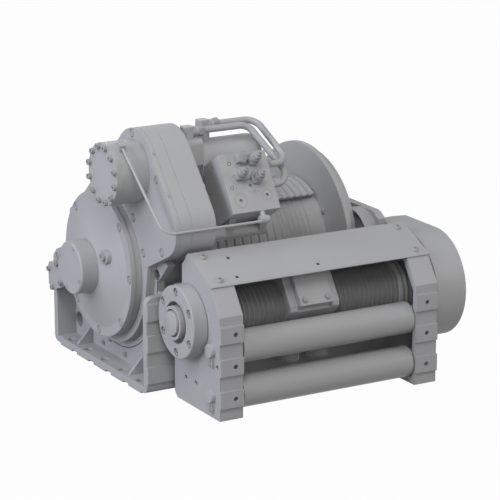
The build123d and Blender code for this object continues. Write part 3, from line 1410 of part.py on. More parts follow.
# Chain cover at the right end, open to the frame and held on four bosses
with BuildPart() as chain_cover:
    with BuildSketch(side(chain_cover_x)) as lid:
        chain_outline()
    extrude(lid.sketch, amount=chain_cover_w)
    with BuildSketch(side(chain_cover_x)) as hollow:
        chain_outline()
        offset(amount=-chain_wall, kind=Kind.INTERSECTION, mode=Mode.REPLACE)
    extrude(hollow.sketch, amount=chain_cover_w - chain_wall, mode=Mode.SUBTRACT)
    for y, z in cheek_mounts:
        rod(right_cheek_out, chain_cover_x + chain_cover_w - chain_wall, y, z, chain_boss_r)
    for y, z in frame_mounts:
        rod(right_rim_x, chain_cover_x + chain_cover_w - chain_wall, y, z, chain_boss_r)
chain_cover.part.label = "chain_cover"
export_step(chain_cover.part, "parts/chain_cover.step")

# Curved guard over the intermediate gear
with BuildPart() as gear_guard:
    slab(right_wall_x + right_wall_t, outer_plate_x,
         [away(idle_y, idle_z, turn, guard_r + guard_t) for turn in guard_turns]
         + [away(idle_y, idle_z, turn, guard_r) for turn in reversed(guard_turns)])
gear_guard.part.label = "gear_guard"
export_step(gear_guard.part, "parts/gear_guard.step")

# Rope press plate: curved and fluted shoe over the barrel, two arms and the pivot bar
shoe_x0 = drum_left_x + left_flange_t + press_gap
shoe_x1 = drum_right_x - right_flange_t - press_gap
flute_w = (shoe_x1 - shoe_x0) / press_flutes
shoe_turn = radians(press_back_angle)
with BuildPart() as rope_press_plate:
    with BuildSketch(Plane(origin=(0, 0, axis_z), x_dir=(1, 0, 0),
                           z_dir=(0, -sin(shoe_turn), cos(shoe_turn)))) as shoe:
        with BuildLine():
            for i in range(press_flutes):
                flute_x = shoe_x0 + i * flute_w
                ThreePointArc((flute_x, press_r + press_t),
                              (flute_x + flute_w / 2, press_r + press_t - press_flute_h),
                              (flute_x + flute_w, press_r + press_t))
            Polyline((shoe_x1, press_r + press_t), (shoe_x1, press_r), (shoe_x0, press_r),
                     (shoe_x0, press_r + press_t))
        make_face()
    revolve(shoe.sketch, axis=Axis((0, 0, axis_z), (1, 0, 0)),
            revolution_arc=press_front_angle - press_back_angle)
    shoe_end = away(0, axis_z, press_back_angle, press_r + press_t / 2)
    for x in (shoe_x0 + press_arm_in[0], shoe_x1 - press_arm_in[1]):
        with BuildSketch(side(x)):
            racetrack((shoe_end[0], shoe_end[1] + press_arm_h / 2, press_arm_h / 2),
                      (press_pivot_y, press_pivot_z, press_pivot_r + press_eye_wall))
        extrude(amount=press_arm_w)
    rod(left_wall_x, right_wall_x + right_wall_t, press_pivot_y, press_pivot_z, press_pivot_r)
rope_press_plate.part.label = "rope_press_plate"
export_step(rope_press_plate.part, "parts/rope_press_plate.step")
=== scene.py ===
import json
from math import atan2, cos, hypot, pi, radians, sin

import bmesh
import bpy
from mathutils import Matrix, Vector


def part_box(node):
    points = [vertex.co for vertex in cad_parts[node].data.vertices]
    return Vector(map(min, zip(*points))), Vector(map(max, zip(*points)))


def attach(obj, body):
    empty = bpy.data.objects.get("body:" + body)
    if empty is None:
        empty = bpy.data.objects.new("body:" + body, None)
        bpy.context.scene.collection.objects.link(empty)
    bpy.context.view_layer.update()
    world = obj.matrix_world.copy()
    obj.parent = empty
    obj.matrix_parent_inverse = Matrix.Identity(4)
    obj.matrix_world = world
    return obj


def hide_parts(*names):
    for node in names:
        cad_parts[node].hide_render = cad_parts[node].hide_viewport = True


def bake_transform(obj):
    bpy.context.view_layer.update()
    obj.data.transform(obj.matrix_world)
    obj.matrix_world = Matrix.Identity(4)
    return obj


bl_info = {
    "name": "Rope Winch Finish",
    "version": (1, 0, 0),
    "blender": (4, 5, 0),
    "location": "3D View > Sidebar > Winch",
    "description": "Dresses the solids of a hydraulic rope winch for rendering",
    "category": "Object",
}

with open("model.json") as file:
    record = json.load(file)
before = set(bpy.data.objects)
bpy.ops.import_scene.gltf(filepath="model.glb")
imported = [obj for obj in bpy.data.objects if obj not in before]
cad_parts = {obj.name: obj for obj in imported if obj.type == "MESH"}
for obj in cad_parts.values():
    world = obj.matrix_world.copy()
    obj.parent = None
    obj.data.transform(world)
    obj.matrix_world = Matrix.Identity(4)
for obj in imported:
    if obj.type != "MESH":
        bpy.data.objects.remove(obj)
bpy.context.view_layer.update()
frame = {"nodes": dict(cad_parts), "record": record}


# Places taken from the solids, in metres. X runs along the drum, with the gearbox at -X.

def middle(node):
    """Middle of a node's box."""
    low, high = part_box(node)
    return (low + high) / 2


def left_of(node):
    """Place along X of a node's left side."""
    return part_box(node)[0].x


drum_axis = middle("drum")
motor_axis = middle("brake_cap")
spindle_axis = middle("left_bellows")
drum_low, drum_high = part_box("drum")
block_low, block_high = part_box("valve_block")
tie_plate_to_wall = 0.0654
wall_x = left_of("lower_tie_plate") - tie_plate_to_wall
rim_x = left_of("left_end_frame")
case_x = left_of("transfer_cover")
cap_x = left_of("centre_cap")
brake_x = left_of("brake_cap")
housing_x = left_of("spindle_housing")
plate_x = left_of("side_plate")
keeper_x = left_of("keeper_plates")
nut_x = left_of("reversing_spindle")
cheek_left = left_of("left_cheek")
cheek_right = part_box("right_cheek")[1].x
carriage_x = middle("carriage").x

# Screws that look out to the left, as (y, z)
case_bolts = ((-0.119, 0.555), (-0.229, 0.475), (-0.121, 0.369), (-0.166, 0.301), (-0.250, 0.322))
wall_screws = ((0.0353, 0.0506), (-0.0784, 0.084), (0.0711, 0.0337), (-0.0382, 0.0358))
side_plate_screws = ((0.2239, 0.1783), (0.2073, 0.1373), (0.1641, 0.1576), (0.169, 0.2187),
                     (0.1831, 0.1977))
oil_boss_out = 0.027
oil_plug = Vector((rim_x - oil_boss_out, -0.080, 0.279))

# Plugs in the edge of the transfer case, as (y, z, direction in degrees)
case_plugs = ((-0.2091, 0.5267, 138.7), (-0.2766, 0.4499, 138.7), (-0.2960, 0.3293, 229.6))
case_plug_in = 0.0055

# The valve block leans back, and its fittings are placed from its left upper corner as (along, down)
block_lean = radians(32)
block_out = Vector((0, -cos(block_lean), sin(block_lean)))
block_down = Vector((0, -sin(block_lean), -cos(block_lean)))
motor_to_block_front = 0.112
motor_to_block_top = 0.0257
cartridges = ((0.036, 0.050), (0.077, 0.021), (0.074, 0.062))
hexagon_cap = (0.0497, 0.0129)
stamped = ((0.0219, 0.0218), (0.0132, 0.0752))

# Ends of the two pressure tubes: at the valve block, and at the elbows of the motor
block_nuts = ((block_high.x, -0.236, 0.4795), (block_high.x, -0.2465, 0.4365))
elbow_nuts = ((-0.066, -0.107, 0.55096), (-0.127, -0.151, 0.55096))

# Sloping sheet of the top cover, with its screws and holes as shares of the slope
slope_low = Vector((0, -0.4087, 0.2816))
slope_high = Vector((0, -0.3114, 0.3271))
slope_sheet = 0.003
cover_screw_in = 0.027
cover_screw_shares = (0.12, 0.85)
cover_hole_shades = ((-0.1578, 0.719), (-0.1679, 0.144), (0.0299, 0.151))

# Slanting face of the carriage, with its screws by their place across and in from the edges
slant_low = Vector((0, -0.403, 0.207))
slant_high = Vector((0, -0.358, 0.272))
carriage_plate_out = 0.012
carriage_screw_side = 0.0285
carriage_screw_in = 0.008

# Keeper plate of a roller axle: size, middle from the axle's end, and its two screws up from there
keeper_size = Vector((0.006, 0.013, 0.024))
keeper_off = Vector((-0.003, -0.003, -0.023))
keeper_screw_ups = (-0.006, 0.004)

# Profiles of turned fittings, as (radius, height) from where they sit
cartridge_profile = ((0.0125, 0), (0.0125, 0.0120), (0.0118, 0.0132), (0.0104, 0.0134), (0.0104, 0.0145),
                     (0.0108, 0.0150), (0.0108, 0.0262), (0.0100, 0.0272), (0.0078, 0.0273),
                     (0.0078, 0.0350), (0.0070, 0.0358), (0.0046, 0.0360), (0.0046, 0.0436),
                     (0.0040, 0.0442), (0.0020, 0.0442), (0.0020, 0.0415), (0, 0.0415))
hexagon_cap_profile = ((0.0135, 0), (0.0135, 0.0145), (0.0122, 0.016), (0, 0.016))
stamped_profile = ((0.0042, 0), (0.0042, 0.0002), (0.0034, 0.0002), (0.0034, 0), (0.0042, 0))
union_nut_profile = ((0.0076, 0), (0.0105, 0), (0.0115, 0.0012), (0.0115, 0.0120), (0.0105, 0.0132),
                     (0.0092, 0.0150), (0.0076, 0.0152))

# Disc in the spindle nut, as (x from the nut's face, radius)
nut_disc = ((0.0160, 0), (0.0160, 0.0270), (0.0005, 0.0270), (-0.0035, 0.0262), (-0.0042, 0.0250),
            (-0.0042, 0))

# One fold of a bellows and of its collar, as shares of its length and of its height
pleat_fold = ((0.0, 0.0), (0.14, 0.12), (0.38, 0.72), (0.45, 0.97), (0.5, 1.0), (0.55, 0.97), (0.62, 0.72),
              (0.86, 0.12))
collar_fold = ((0.0, 0.0), (0.38, 0.9), (0.5, 1.0), (0.62, 0.9))


# Sizes and colours that a user would change

class WinchSizes(bpy.types.PropertyGroup):
    """Sizes of the details that the solids leave out"""
    band_pitch: bpy.props.FloatProperty(
        name="Band pitch", description="Pitch of the wide bands of the drum",
        default=0.021, unit="LENGTH")
    groove_pitch: bpy.props.FloatProperty(
        name="Groove pitch", description="Pitch of the narrow grooves of the drum",
        default=0.013, unit="LENGTH")
    groove_depth: bpy.props.FloatProperty(
        name="Groove depth", description="Depth of the grooves of the drum",
        default=0.0022, unit="LENGTH")
    bolt_head: bpy.props.FloatProperty(
        name="Bolt head", description="Radius of the heads of the case bolts",
        default=0.0078, unit="LENGTH")
    pleat_pitch: bpy.props.FloatProperty(
        name="Pleat pitch", description="Length of one fold of the bellows",
        default=0.0118, unit="LENGTH")
    pleat_depth: bpy.props.FloatProperty(
        name="Pleat depth", description="Height of the folds of the bellows",
        default=0.0100, unit="LENGTH")
    edge_radius: bpy.props.FloatProperty(
        name="Edge radius", description="Rounding of machined edges in the shading",
        default=0.0014, unit="LENGTH")
    casting_radius: bpy.props.FloatProperty(
        name="Casting radius", description="Rounding of cast edges in the shading",
        default=0.0032, unit="LENGTH")


class WinchColours(bpy.types.PropertyGroup):
    """Colours of the finishes"""
    primer: bpy.props.FloatVectorProperty(
        name="Primer", description="Grey primer on castings and plates",
        subtype="COLOR", size=3, default=(0.36, 0.362, 0.372), min=0, max=1)
    steel: bpy.props.FloatVectorProperty(
        name="Steel", description="Turned and ground steel",
        subtype="COLOR", size=3, default=(0.34, 0.342, 0.348), min=0, max=1)
    screw: bpy.props.FloatVectorProperty(
        name="Screws", description="Screws and plugs",
        subtype="COLOR", size=3, default=(0.30, 0.302, 0.31), min=0, max=1)
    # Darker than the primer: painted shade of the top cover over the bellows
    rubber_and_shade: bpy.props.FloatVectorProperty(
        name="Bellows", description="Rubber cloth of the bellows",
        subtype="COLOR", size=3, default=(0.20, 0.20, 0.204), min=0, max=1)
    # Near-black colour of the painted shade in sockets, holes, joints, bolt sinks and stamped rings
    shadow: bpy.props.FloatVectorProperty(
        name="Sockets and holes", description="Dark insides of sockets, holes and joints",
        subtype="COLOR", size=3, default=(0.012, 0.012, 0.013), min=0, max=1)
    floor: bpy.props.FloatVectorProperty(
        name="Floor", description="Shade of the floor in the light that it throws back on the winch",
        subtype="COLOR", size=3, default=(0.22, 0.22, 0.22), min=0, max=1)


# Shader maths as plain expressions

class Wire:
    """Output of a node. Sums and products of wires add Math nodes."""

    def __init__(self, finish, socket):
        self.finish = finish
        self.socket = socket

    def math(self, operation, *values):
        return self.finish.node("ShaderNodeMath", {"operation": operation}, dict(enumerate(values)))

    def __add__(self, other):
        return self.math("ADD", self, other)

    def __radd__(self, other):
        return self.math("ADD", other, self)

    def __mul__(self, other):
        return self.math("MULTIPLY", self, other)

    def __rmul__(self, other):
        return self.math("MULTIPLY", other, self)


class Finish:
    """Material or world under construction."""

    def __init__(self, owner):
        self.owner = owner
        owner.use_nodes = True
        self.tree = owner.node_tree
        self.tree.nodes.clear()

    def node(self, kind, settings=None, inputs=None, output=0):
        """Adds one node: its settings first, then the values or links of its sockets."""
        made = self.tree.nodes.new(kind)
        for key, value in (settings or {}).items():
            setattr(made, key, value)
        for key, value in (inputs or {}).items():
            if isinstance(value, Wire):
                self.tree.links.new(value.socket, made.inputs[key])
            else:
                made.inputs[key].default_value = value
        return Wire(self, made.outputs[output]) if made.outputs else None

    def shade(self, **inputs):
        """Closes a material with one Principled shader."""
        sockets = {name.replace("_", " "): value for name, value in inputs.items()}
        return self.close(self.node("ShaderNodeBsdfPrincipled", inputs=sockets))

    def close(self, surface, end="ShaderNodeOutputMaterial"):
        """Links the last shader to the output and gives back what the nodes belong to."""
        self.node(end, inputs={"Surface": surface})
        return self.owner


def new_finish(name):
    """Empty material to build a finish in."""
    return Finish(bpy.data.materials.new(name))


def grain(finish, scale, stretch=(1, 1, 1), detail=3.0):
    """Noise on object coordinates, stretched along an axis."""
    place = finish.node("ShaderNodeTexCoord", output="Object")
    place = finish.node("ShaderNodeMapping", inputs={"Vector": place, "Scale": stretch})
    return finish.node("ShaderNodeTexNoise", inputs={"Vector": place, "Scale": scale, "Detail": detail,
                                                     "Roughness": 0.55})


def rounded(finish, radius):
    """Normal with the edges of the piece softened."""
    return finish.node("ShaderNodeBevel", {"samples": 6}, {"Radius": radius})


def relief(finish, height, strength, distance, **normal):
    """Normal with a fine relief on it."""
    return finish.node("ShaderNodeBump", inputs={"Strength": strength, "Distance": distance,
                                                 "Height": height, **normal})


def toned(finish, colour, pattern, spread):
    """Colour that gets a little lighter and darker with a pattern."""
    dark = [c * (1 - spread) for c in colour] + [1]
    light = [min(1, c * (1 + spread)) for c in colour] + [1]
    colour_a, colour_b, colour_out = 6, 7, 2     # sockets of a colour mix
    return finish.node("ShaderNodeMix", {"data_type": "RGBA"},
                       {"Factor": pattern, colour_a: dark, colour_b: light}, output=colour_out)


def primed_casting(name, colour, radius):
    """Grey primer over cast iron: fine cast grain and soft blotches."""
    finish = new_finish(name)
    fine = grain(finish, scale=420.0)
    broad = grain(finish, scale=14.0, detail=2.0)
    normal = relief(finish, fine + broad * 0.4, strength=0.14, distance=0.0006,
                    Normal=rounded(finish, radius))
    return finish.shade(Base_Color=toned(finish, colour, broad * 0.7 + fine * 0.3, spread=0.05),
                        Roughness=0.50 + fine * 0.18, Normal=normal)


def primed_plate(name, colour, radius):
    """Grey primer on machined faces and sheet: smooth with a faint spray texture."""
    finish = new_finish(name)
    spray = grain(finish, scale=900.0, detail=2.0)
    broad = grain(finish, scale=9.0, detail=2.0)
    normal = relief(finish, spray, strength=0.05, distance=0.0003, Normal=rounded(finish, radius))
    return finish.shade(Base_Color=toned(finish, colour, broad, spread=0.035),
                        Roughness=0.44 + spray * 0.14, Normal=normal)


def turned_steel(name, colour, radius, stretch):
    """Steel turned on a lathe: fine lines around the axis."""
    finish = new_finish(name)
    lines = grain(finish, scale=260.0, stretch=stretch, detail=4.0)
    broad = grain(finish, scale=12.0, detail=2.0)
    normal = relief(finish, lines, strength=0.06, distance=0.0002, Normal=rounded(finish, radius))
    return finish.shade(Base_Color=toned(finish, colour, lines * 0.6 + broad * 0.4, spread=0.045),
                        Roughness=0.34 + lines * 0.16, Normal=normal)


def screw_steel(name, colour):
    """Phosphated screws and plugs: darker and a little blotchy."""
    finish = new_finish(name)
    blotch = grain(finish, scale=160.0)
    return finish.shade(Base_Color=toned(finish, colour, blotch, spread=0.10),
                        Roughness=0.40 + blotch * 0.2)


def rubber_cloth_and_shade(name, colour):
    """Rubber cloth with a fine weave, in a colour darkened as painted shade of the top cover over the
    bellows.
    """
    finish = new_finish(name)
    weave = grain(finish, scale=700.0, stretch=(0.35, 1, 1))
    return finish.shade(Base_Color=toned(finish, colour, weave, spread=0.08),
                        Roughness=0.62 + weave * 0.16,
                        Normal=relief(finish, weave, strength=0.12, distance=0.0003))


def painted_shade_inside(name, colour):
    """Painted shade: near-black colour for the unlit inside of a socket, a hole or a joint."""
    finish = new_finish(name)
    shade_speckle = grain(finish, scale=300.0)
    return finish.shade(Base_Color=toned(finish, colour, shade_speckle, spread=0.3), Roughness=0.9)


# Materials by finish, which the first step fills, and the finish of each of the record's slots
FINISHES = {}
slot_finishes = {"grey_paint": "plate", "grey_casting": "casting", "grey_steel": "steel",
                 "grey_screws": "screw", "grey_bellows": "rubber_and_shade"}
upright_nodes = {"guide_roller_left", "guide_roller_right"}
painted_nodes = {"valve_plugs", "tube_fittings", "tube_upper", "tube_lower", "brake_tube"}


class WINCH_OT_finishes(bpy.types.Operator):
    """Make the materials and give each solid its own"""
    bl_idname = "winch.finishes"
    bl_label = "Finishes"

    def execute(self, context):
        colours = context.scene.winch_colours
        edge = context.scene.winch_sizes.edge_radius
        cast_edge = context.scene.winch_sizes.casting_radius
        FINISHES["casting"] = primed_casting("primed_casting", colours.primer, cast_edge)
        FINISHES["plate"] = primed_plate("primed_plate", colours.primer, edge)
        FINISHES["steel"] = turned_steel("turned_steel_along_x", colours.steel, edge, (1, 0.08, 0.08))
        FINISHES["upright"] = turned_steel("turned_steel_along_z", colours.steel, edge, (0.08, 0.08, 1))
        FINISHES["screw"] = screw_steel("screw_steel", colours.screw)
        FINISHES["rubber_and_shade"] = rubber_cloth_and_shade("rubber_cloth_and_shade", colours.rubber_and_shade)
        FINISHES["shadow"] = painted_shade_inside("painted_shade_inside", colours.shadow)
        slots = {part["node"]: part["material_slot"] for part in frame["record"]["subparts"]}
        for name, solid in frame["nodes"].items():
            kind = slot_finishes[slots[name]]
            if name in upright_nodes:
                kind = "upright"
            elif name in painted_nodes:
                kind = "plate"
            solid.data.materials.clear()
            solid.data.materials.append(FINISHES[kind])
        return {"FINISHED"}


# Helpers for meshes and pieces

weld_distance = 1e-6
sharp_angle = radians(35)


def mesh_of(name, bm):
    """Turns a bmesh into a mesh."""
    mesh = bpy.data.meshes.new(name)
    bm.to_mesh(mesh)
    bm.free()
    return mesh


def placed(name, data):
    """Puts a mesh, a lamp or a camera in the scene as an object."""
    made = bpy.data.objects.new(name, data)
    bpy.context.scene.collection.objects.link(made)
    return made


def add_piece(name, bm, body, finish, nodes=()):
    """Turns a bmesh into a piece that rides on a body."""
    bmesh.ops.remove_doubles(bm, verts=bm.verts, dist=weld_distance)
    bmesh.ops.recalc_face_normals(bm, faces=bm.faces)
    mesh = mesh_of(name, bm)
    piece = placed(name, mesh)
    mesh.materials.append(FINISHES[finish])
    mesh.shade_smooth()
    mesh.set_sharp_from_angle(angle=sharp_angle)
    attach(piece, body)
    if nodes:
        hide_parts(*nodes)
    return piece


def spin(bm, points, centre, axis, steps):
    """Turns a line of points all the way round an axis."""
    corners = [bm.verts.new(point) for point in points]
    edges = [bm.edges.new(pair) for pair in zip(corners, corners[1:])]
    bmesh.ops.spin(bm, geom=corners + edges, cent=centre, axis=axis, angle=2 * pi, steps=steps,
                   use_merge=True)


def spin_about_x(bm, profile, centre, steps):
    """Turns a profile of (x, radius) points about a line along X through a point."""
    points = [(x, centre.y, centre.z + radius) for x, radius in profile]
    spin(bm, points, (0, centre.y, centre.z), (1, 0, 0), steps)


def eased(x, radius, along, up, size):
    """Three points that round a corner of a profile, from its face to its rim or barrel. The corner
    runs along and up the way that 1 or -1 says."""
    near = size * 0.3
    return [(x, radius + up * size), (x + along * near, radius + up * near), (x + along * size, radius)]


def hexagon_reach(angle, flat):
    """Distance from the middle to a hexagon's side in a direction, for a hexagon with that half width."""
    return flat / cos((angle + pi / 6) % (pi / 3) - pi / 6)


def turned_head(profile, hexagons=(), steps=24):
    """Mesh of a head turned about Z from (radius, height) points. The points numbered in hexagons
    give six-sided rings instead of round ones."""
    same = 1e-7
    bm = bmesh.new()
    spin(bm, [(radius, 0, height) for radius, height in profile], (0, 0, 0), (0, 0, 1), steps)
    for ring in hexagons:
        radius, height = profile[ring]
        for v in bm.verts:
            if abs(v.co.z - height) < same and abs(hypot(v.co.x, v.co.y) - radius) < same:
                turn = atan2(v.co.y, v.co.x)
                reach = hexagon_reach(turn, radius)
                v.co.x, v.co.y = reach * cos(turn), reach * sin(turn)
    bmesh.ops.remove_doubles(bm, verts=bm.verts, dist=same)
    return mesh_of("head", bm)


def socket_head(radius, height, socket, edge=0.0006):
    """Cap screw head with a hexagon socket of that half width."""
    floor_side, floor_middle = height * 0.45, height * 0.38
    profile = [(radius, 0), (radius, height - edge), (radius - edge, height), (socket + edge, height),
               (socket, height - edge), (socket, floor_side), (0, floor_middle)]
    return turned_head(profile, (4, 5))


def hexagon_head(half, height, washer=0.0, edge=0.0008):
    """Hexagon bolt head of that half width, on a washer if its radius is given."""
    lift = height * 0.18 if washer else 0
    base = [(washer, 0), (washer, lift)] if washer else []
    profile = base + [(half, lift), (half, height - edge), (half - edge, height), (0, height)]
    return turned_head(profile, (len(base), len(base) + 1))


def button_head(radius, height, socket):
    """Round-headed screw with a small socket."""
    rise = [(radius, 0), (radius * 0.96, height * 0.45), (radius * 0.8, height * 0.82),
            (radius * 0.55, height), (socket, height), (socket, height * 0.35), (0, height * 0.3)]
    return turned_head(rise, (4, 5))


def painted_shade_disc(radius, sides=16):
    """Thin disc of painted shade that stands for the mouth of a hole or the gap around a sunk head."""
    thickness = 0.0001
    return turned_head([(radius, 0), (radius, thickness), (0, thickness)], steps=sides)


def facing(place, direction, turn=0.0):
    """Matrix that sets a head made about Z on a place, looking along a direction."""
    look = Vector(direction).normalized().to_track_quat("Z", "Y").to_matrix().to_4x4()
    return Matrix.Translation(place) @ look @ Matrix.Rotation(turn, 4, "Z")


def facing_left(places, turn=0.0):
    """Matrices of heads that look out on the gearbox side."""
    return [facing(place, (-1, 0, 0), turn) for place in places]


def ring_places(centre, x, radius, count, start=0.0):
    """Places on a circle in the side plane."""
    turns = [radians(start) + 2 * pi * i / count for i in range(count)]
    return [Vector((x, centre.y + radius * cos(t), centre.z + radius * sin(t))) for t in turns]


def in_plane(x, places):
    """Places in the side plane at x."""
    return [Vector((x, y, z)) for y, z in places]


def on_block(along, down):
    """Place on the front of the valve block, from its left upper corner."""
    return (Vector((block_low.x + along, motor_axis.y, motor_axis.z)) + block_out * motor_to_block_front
            + block_down * (motor_to_block_top + down))


def scatter(bm, mesh, matrices):
    """Adds one copy of a mesh for each matrix."""
    for matrix in matrices:
        start = len(bm.verts)
        bm.from_mesh(mesh)
        bm.verts.ensure_lookup_table()
        bmesh.ops.transform(bm, matrix=matrix, verts=bm.verts[start:])


def add_heads(name, mesh, matrices, body="frame_body", nodes=(), finish="screw"):
    """One piece out of many like heads."""
    bm = bmesh.new()
    scatter(bm, mesh, matrices)
    return add_piece(name, bm, body, finish, nodes)


# Pieces

class WINCH_OT_rope_drum(bpy.types.Operator):
    """Drum with round-bottomed grooves, rounded flange rims and the screws of the right flange"""
    bl_idname = "winch.rope_drum"
    bl_label = "Rope drum"

    def execute(self, context):
        sizes = context.scene.winch_sizes
        left, right = drum_low.x, drum_high.x
        outer = (drum_high.z - drum_low.z) / 2
        barrel, bore, hub = 0.120, 0.100, 0.0301
        rim, root = 0.0025, 0.0040
        left_flange, right_flange = 0.014, 0.015
        left_in, right_in = left + left_flange, right - right_flange
        # Webs inside the barrel, as (place, thickness)
        webs = ((left + 0.100, 0.016), (right - 0.040, 0.014))

        # Narrow grooves on the right, then wide bands, each groove cut as half an ellipse
        groove_in, band_in = 0.051, 0.018
        groove_count, band_count = 7, 12
        groove_half, groove_steps = 0.0034, 6
        grooves = [right - groove_in - i * sizes.groove_pitch for i in range(groove_count)]
        bands = [grooves[-1] - band_in - i * sizes.band_pitch for i in range(band_count)]
        turns = [pi * i / groove_steps for i in range(groove_steps + 1)]

        profile = [(left, outer - rim), (left, bore)]
        for web, thickness in webs:
            profile += [(web, bore), (web, hub), (web + thickness, hub), (web + thickness, bore)]
        profile.append((right, bore))
        profile += eased(right, outer, -1, -1, rim) + eased(right_in, outer, 1, -1, rim)[::-1]
        profile += eased(right_in, barrel, -1, 1, root)
        for x in grooves + bands:
            profile += [(x + groove_half * cos(t), barrel - sizes.groove_depth * sin(t)) for t in turns]
        profile += eased(left_in, barrel, 1, 1, root)[::-1]
        profile += eased(left_in, outer, -1, -1, rim) + eased(left, outer, 1, -1, rim)[::-1]
        bm = bmesh.new()
        spin_about_x(bm, profile, drum_axis, steps=144)
        add_piece("rope_barrel", bm, "drum_body", "casting", nodes=("drum",))

        places = ring_places(drum_axis, right_in, radius=0.130, count=12, start=24.0)
        add_heads("flange_screws", hexagon_head(half=0.0055, height=0.004), facing_left(places),
                  body="drum_body")
        return {"FINISHED"}


class WINCH_OT_gearbox_screws(bpy.types.Operator):
    """Sunk socket bolts of the gearbox cover and the transfer case, with the plugs of both"""
    bl_idname = "winch.gearbox_screws"
    bl_label = "Gearbox screws"

    def execute(self, context):
        bolt_head = context.scene.winch_sizes.bolt_head
        sink, sink_gap = 0.0016, 0.0012
        places = ring_places(drum_axis, rim_x + sink, radius=0.151, count=8)
        places += in_plane(case_x + sink, case_bolts)
        bolt = socket_head(bolt_head, height=0.0022, socket=0.0040, edge=0.0008)
        add_heads("case_bolt_heads", bolt, facing_left(places, turn=0.3), nodes=("m12_bolts",))
        # Rings of painted shade in the gaps around the sunk bolt heads
        add_heads("case_bolt_sink_shades", painted_shade_disc(bolt_head + sink_gap, sides=24), facing_left(places),
                  finish="shadow")

        places = ring_places(drum_axis, cap_x, radius=0.051, count=4, start=22.0)
        cap_screw = socket_head(radius=0.0042, height=0.0016, socket=0.0022, edge=0.0004)
        add_heads("cap_face_screws", cap_screw, facing_left(places))
        plug = socket_head(radius=0.0095, height=0.004, socket=0.0045)
        add_heads("oil_plug_head", plug, facing_left([oil_plug]))
        wall_screw = socket_head(radius=0.0052, height=0.005, socket=0.0026)
        add_heads("wall_screw_heads", wall_screw, facing_left(in_plane(wall_x, wall_screws)))

        # Thin ring of painted shade along the joint of the gearbox at the wall of the left frame
        joint_in, joint_out, joint_x = 0.1922, 0.1938, wall_x - 0.0003
        ring = [(joint_x, joint_in), (joint_x, joint_out), (wall_x, joint_out), (wall_x, joint_in),
                (joint_x, joint_in)]
        bm = bmesh.new()
        spin_about_x(bm, ring, drum_axis, steps=144)
        add_piece("register_joint_shade", bm, "frame_body", "shadow")

        side_plug = socket_head(radius=0.0038, height=0.0008, socket=0.0022, edge=0.0003)
        matrices = [facing((case_x + case_plug_in, y, z), (0, cos(radians(turn)), sin(radians(turn))))
                    for y, z, turn in case_plugs]
        add_heads("case_side_plugs", side_plug, matrices)
        plate_screw = socket_head(radius=0.006, height=0.006, socket=0.003)
        add_heads("side_plate_heads", plate_screw, facing_left(in_plane(plate_x, side_plate_screws)))
        return {"FINISHED"}


class WINCH_OT_cap_screws(bpy.types.Operator):
    """Socket screws of the brake cap and of the spindle housing"""
    bl_idname = "winch.cap_screws"
    bl_label = "Cap screws"

    def execute(self, context):
        housing_step = 0.010
        places = ring_places(motor_axis, brake_x, radius=0.061, count=12, start=15.0)
        places += ring_places(spindle_axis, housing_x + housing_step, radius=0.066, count=6, start=30.0)
        head = socket_head(radius=0.0065, height=0.008, socket=0.0032)
        add_heads("cap_screw_heads", head, facing_left(places, turn=0.4), nodes=("cap_screws",))
        return {"FINISHED"}


class WINCH_OT_spindle_end(bpy.types.Operator):
    """Disc in the spindle nut, and the keeper discs and plates of the roller axles"""
    bl_idname = "winch.spindle_end"
    bl_label = "Spindle end"

    def execute(self, context):
        bm = bmesh.new()
        spin_about_x(bm, [(nut_x + x, radius) for x, radius in nut_disc], spindle_axis, steps=64)
        add_piece("spindle_disc", bm, "spindle_body", "steel")

        axle, crown = 0.0150, 0.0142
        shoulder_x, face_x = keeper_x - 0.0005, keeper_x - 0.0020
        disc = [(cheek_left, 0), (cheek_left, axle), (shoulder_x, axle), (face_x, crown), (face_x, 0)]
        screw_places = []
        bm = bmesh.new()
        for roller in ("upper_roller", "lower_roller"):
            axis = middle(roller)
            spin_about_x(bm, disc, axis, steps=36)
            plate = bmesh.ops.create_cube(bm, size=1.0)["verts"]
            place = Vector((cheek_left, axis.y, axis.z)) + keeper_off
            bmesh.ops.scale(bm, vec=keeper_size, verts=plate)
            bmesh.ops.translate(bm, vec=place, verts=plate)
            screw_places += [Vector((cheek_left - keeper_size.x, place.y, place.z + up))
                             for up in keeper_screw_ups]
        add_piece("axle_keepers", bm, "frame_body", "plate", nodes=("keeper_plates",))
        keeper_screw = socket_head(radius=0.0036, height=0.003, socket=0.0018, edge=0.0004)
        add_heads("keeper_screw_heads", keeper_screw, facing_left(screw_places))
        return {"FINISHED"}


class WINCH_OT_valves(bpy.types.Operator):
    """Cartridge valves with hexagons and setting screws, and the hexagon cap"""
    bl_idname = "winch.valves"
    bl_label = "Valves"

    def execute(self, context):
        bm = bmesh.new()
        scatter(bm, turned_head(cartridge_profile, (0, 1, 8, 9), steps=36),
                [facing(on_block(*place), block_out, turn=0.35) for place in cartridges])
        scatter(bm, turned_head(hexagon_cap_profile, (0, 1), steps=36),
                [facing(on_block(*hexagon_cap), block_out, turn=0.2)])
        add_piece("cartridges", bm, "frame_body", "screw", nodes=("cartridge_valves",))
        # The stamped rings on the block are thin rings of painted shade
        add_heads("stamped_ring_shades", turned_head(stamped_profile),
                  [facing(on_block(*place), block_out) for place in stamped], finish="shadow")
        return {"FINISHED"}


class WINCH_OT_tube_nuts(bpy.types.Operator):
    """Union nuts at the ends of the two pressure tubes"""
    bl_idname = "winch.tube_nuts"
    bl_label = "Tube nuts"

    def execute(self, context):
        add_heads("union_nuts", turned_head(union_nut_profile, (2, 3), steps=36),
                  [facing(place, (1, 0, 0)) for place in block_nuts + elbow_nuts])
        return {"FINISHED"}


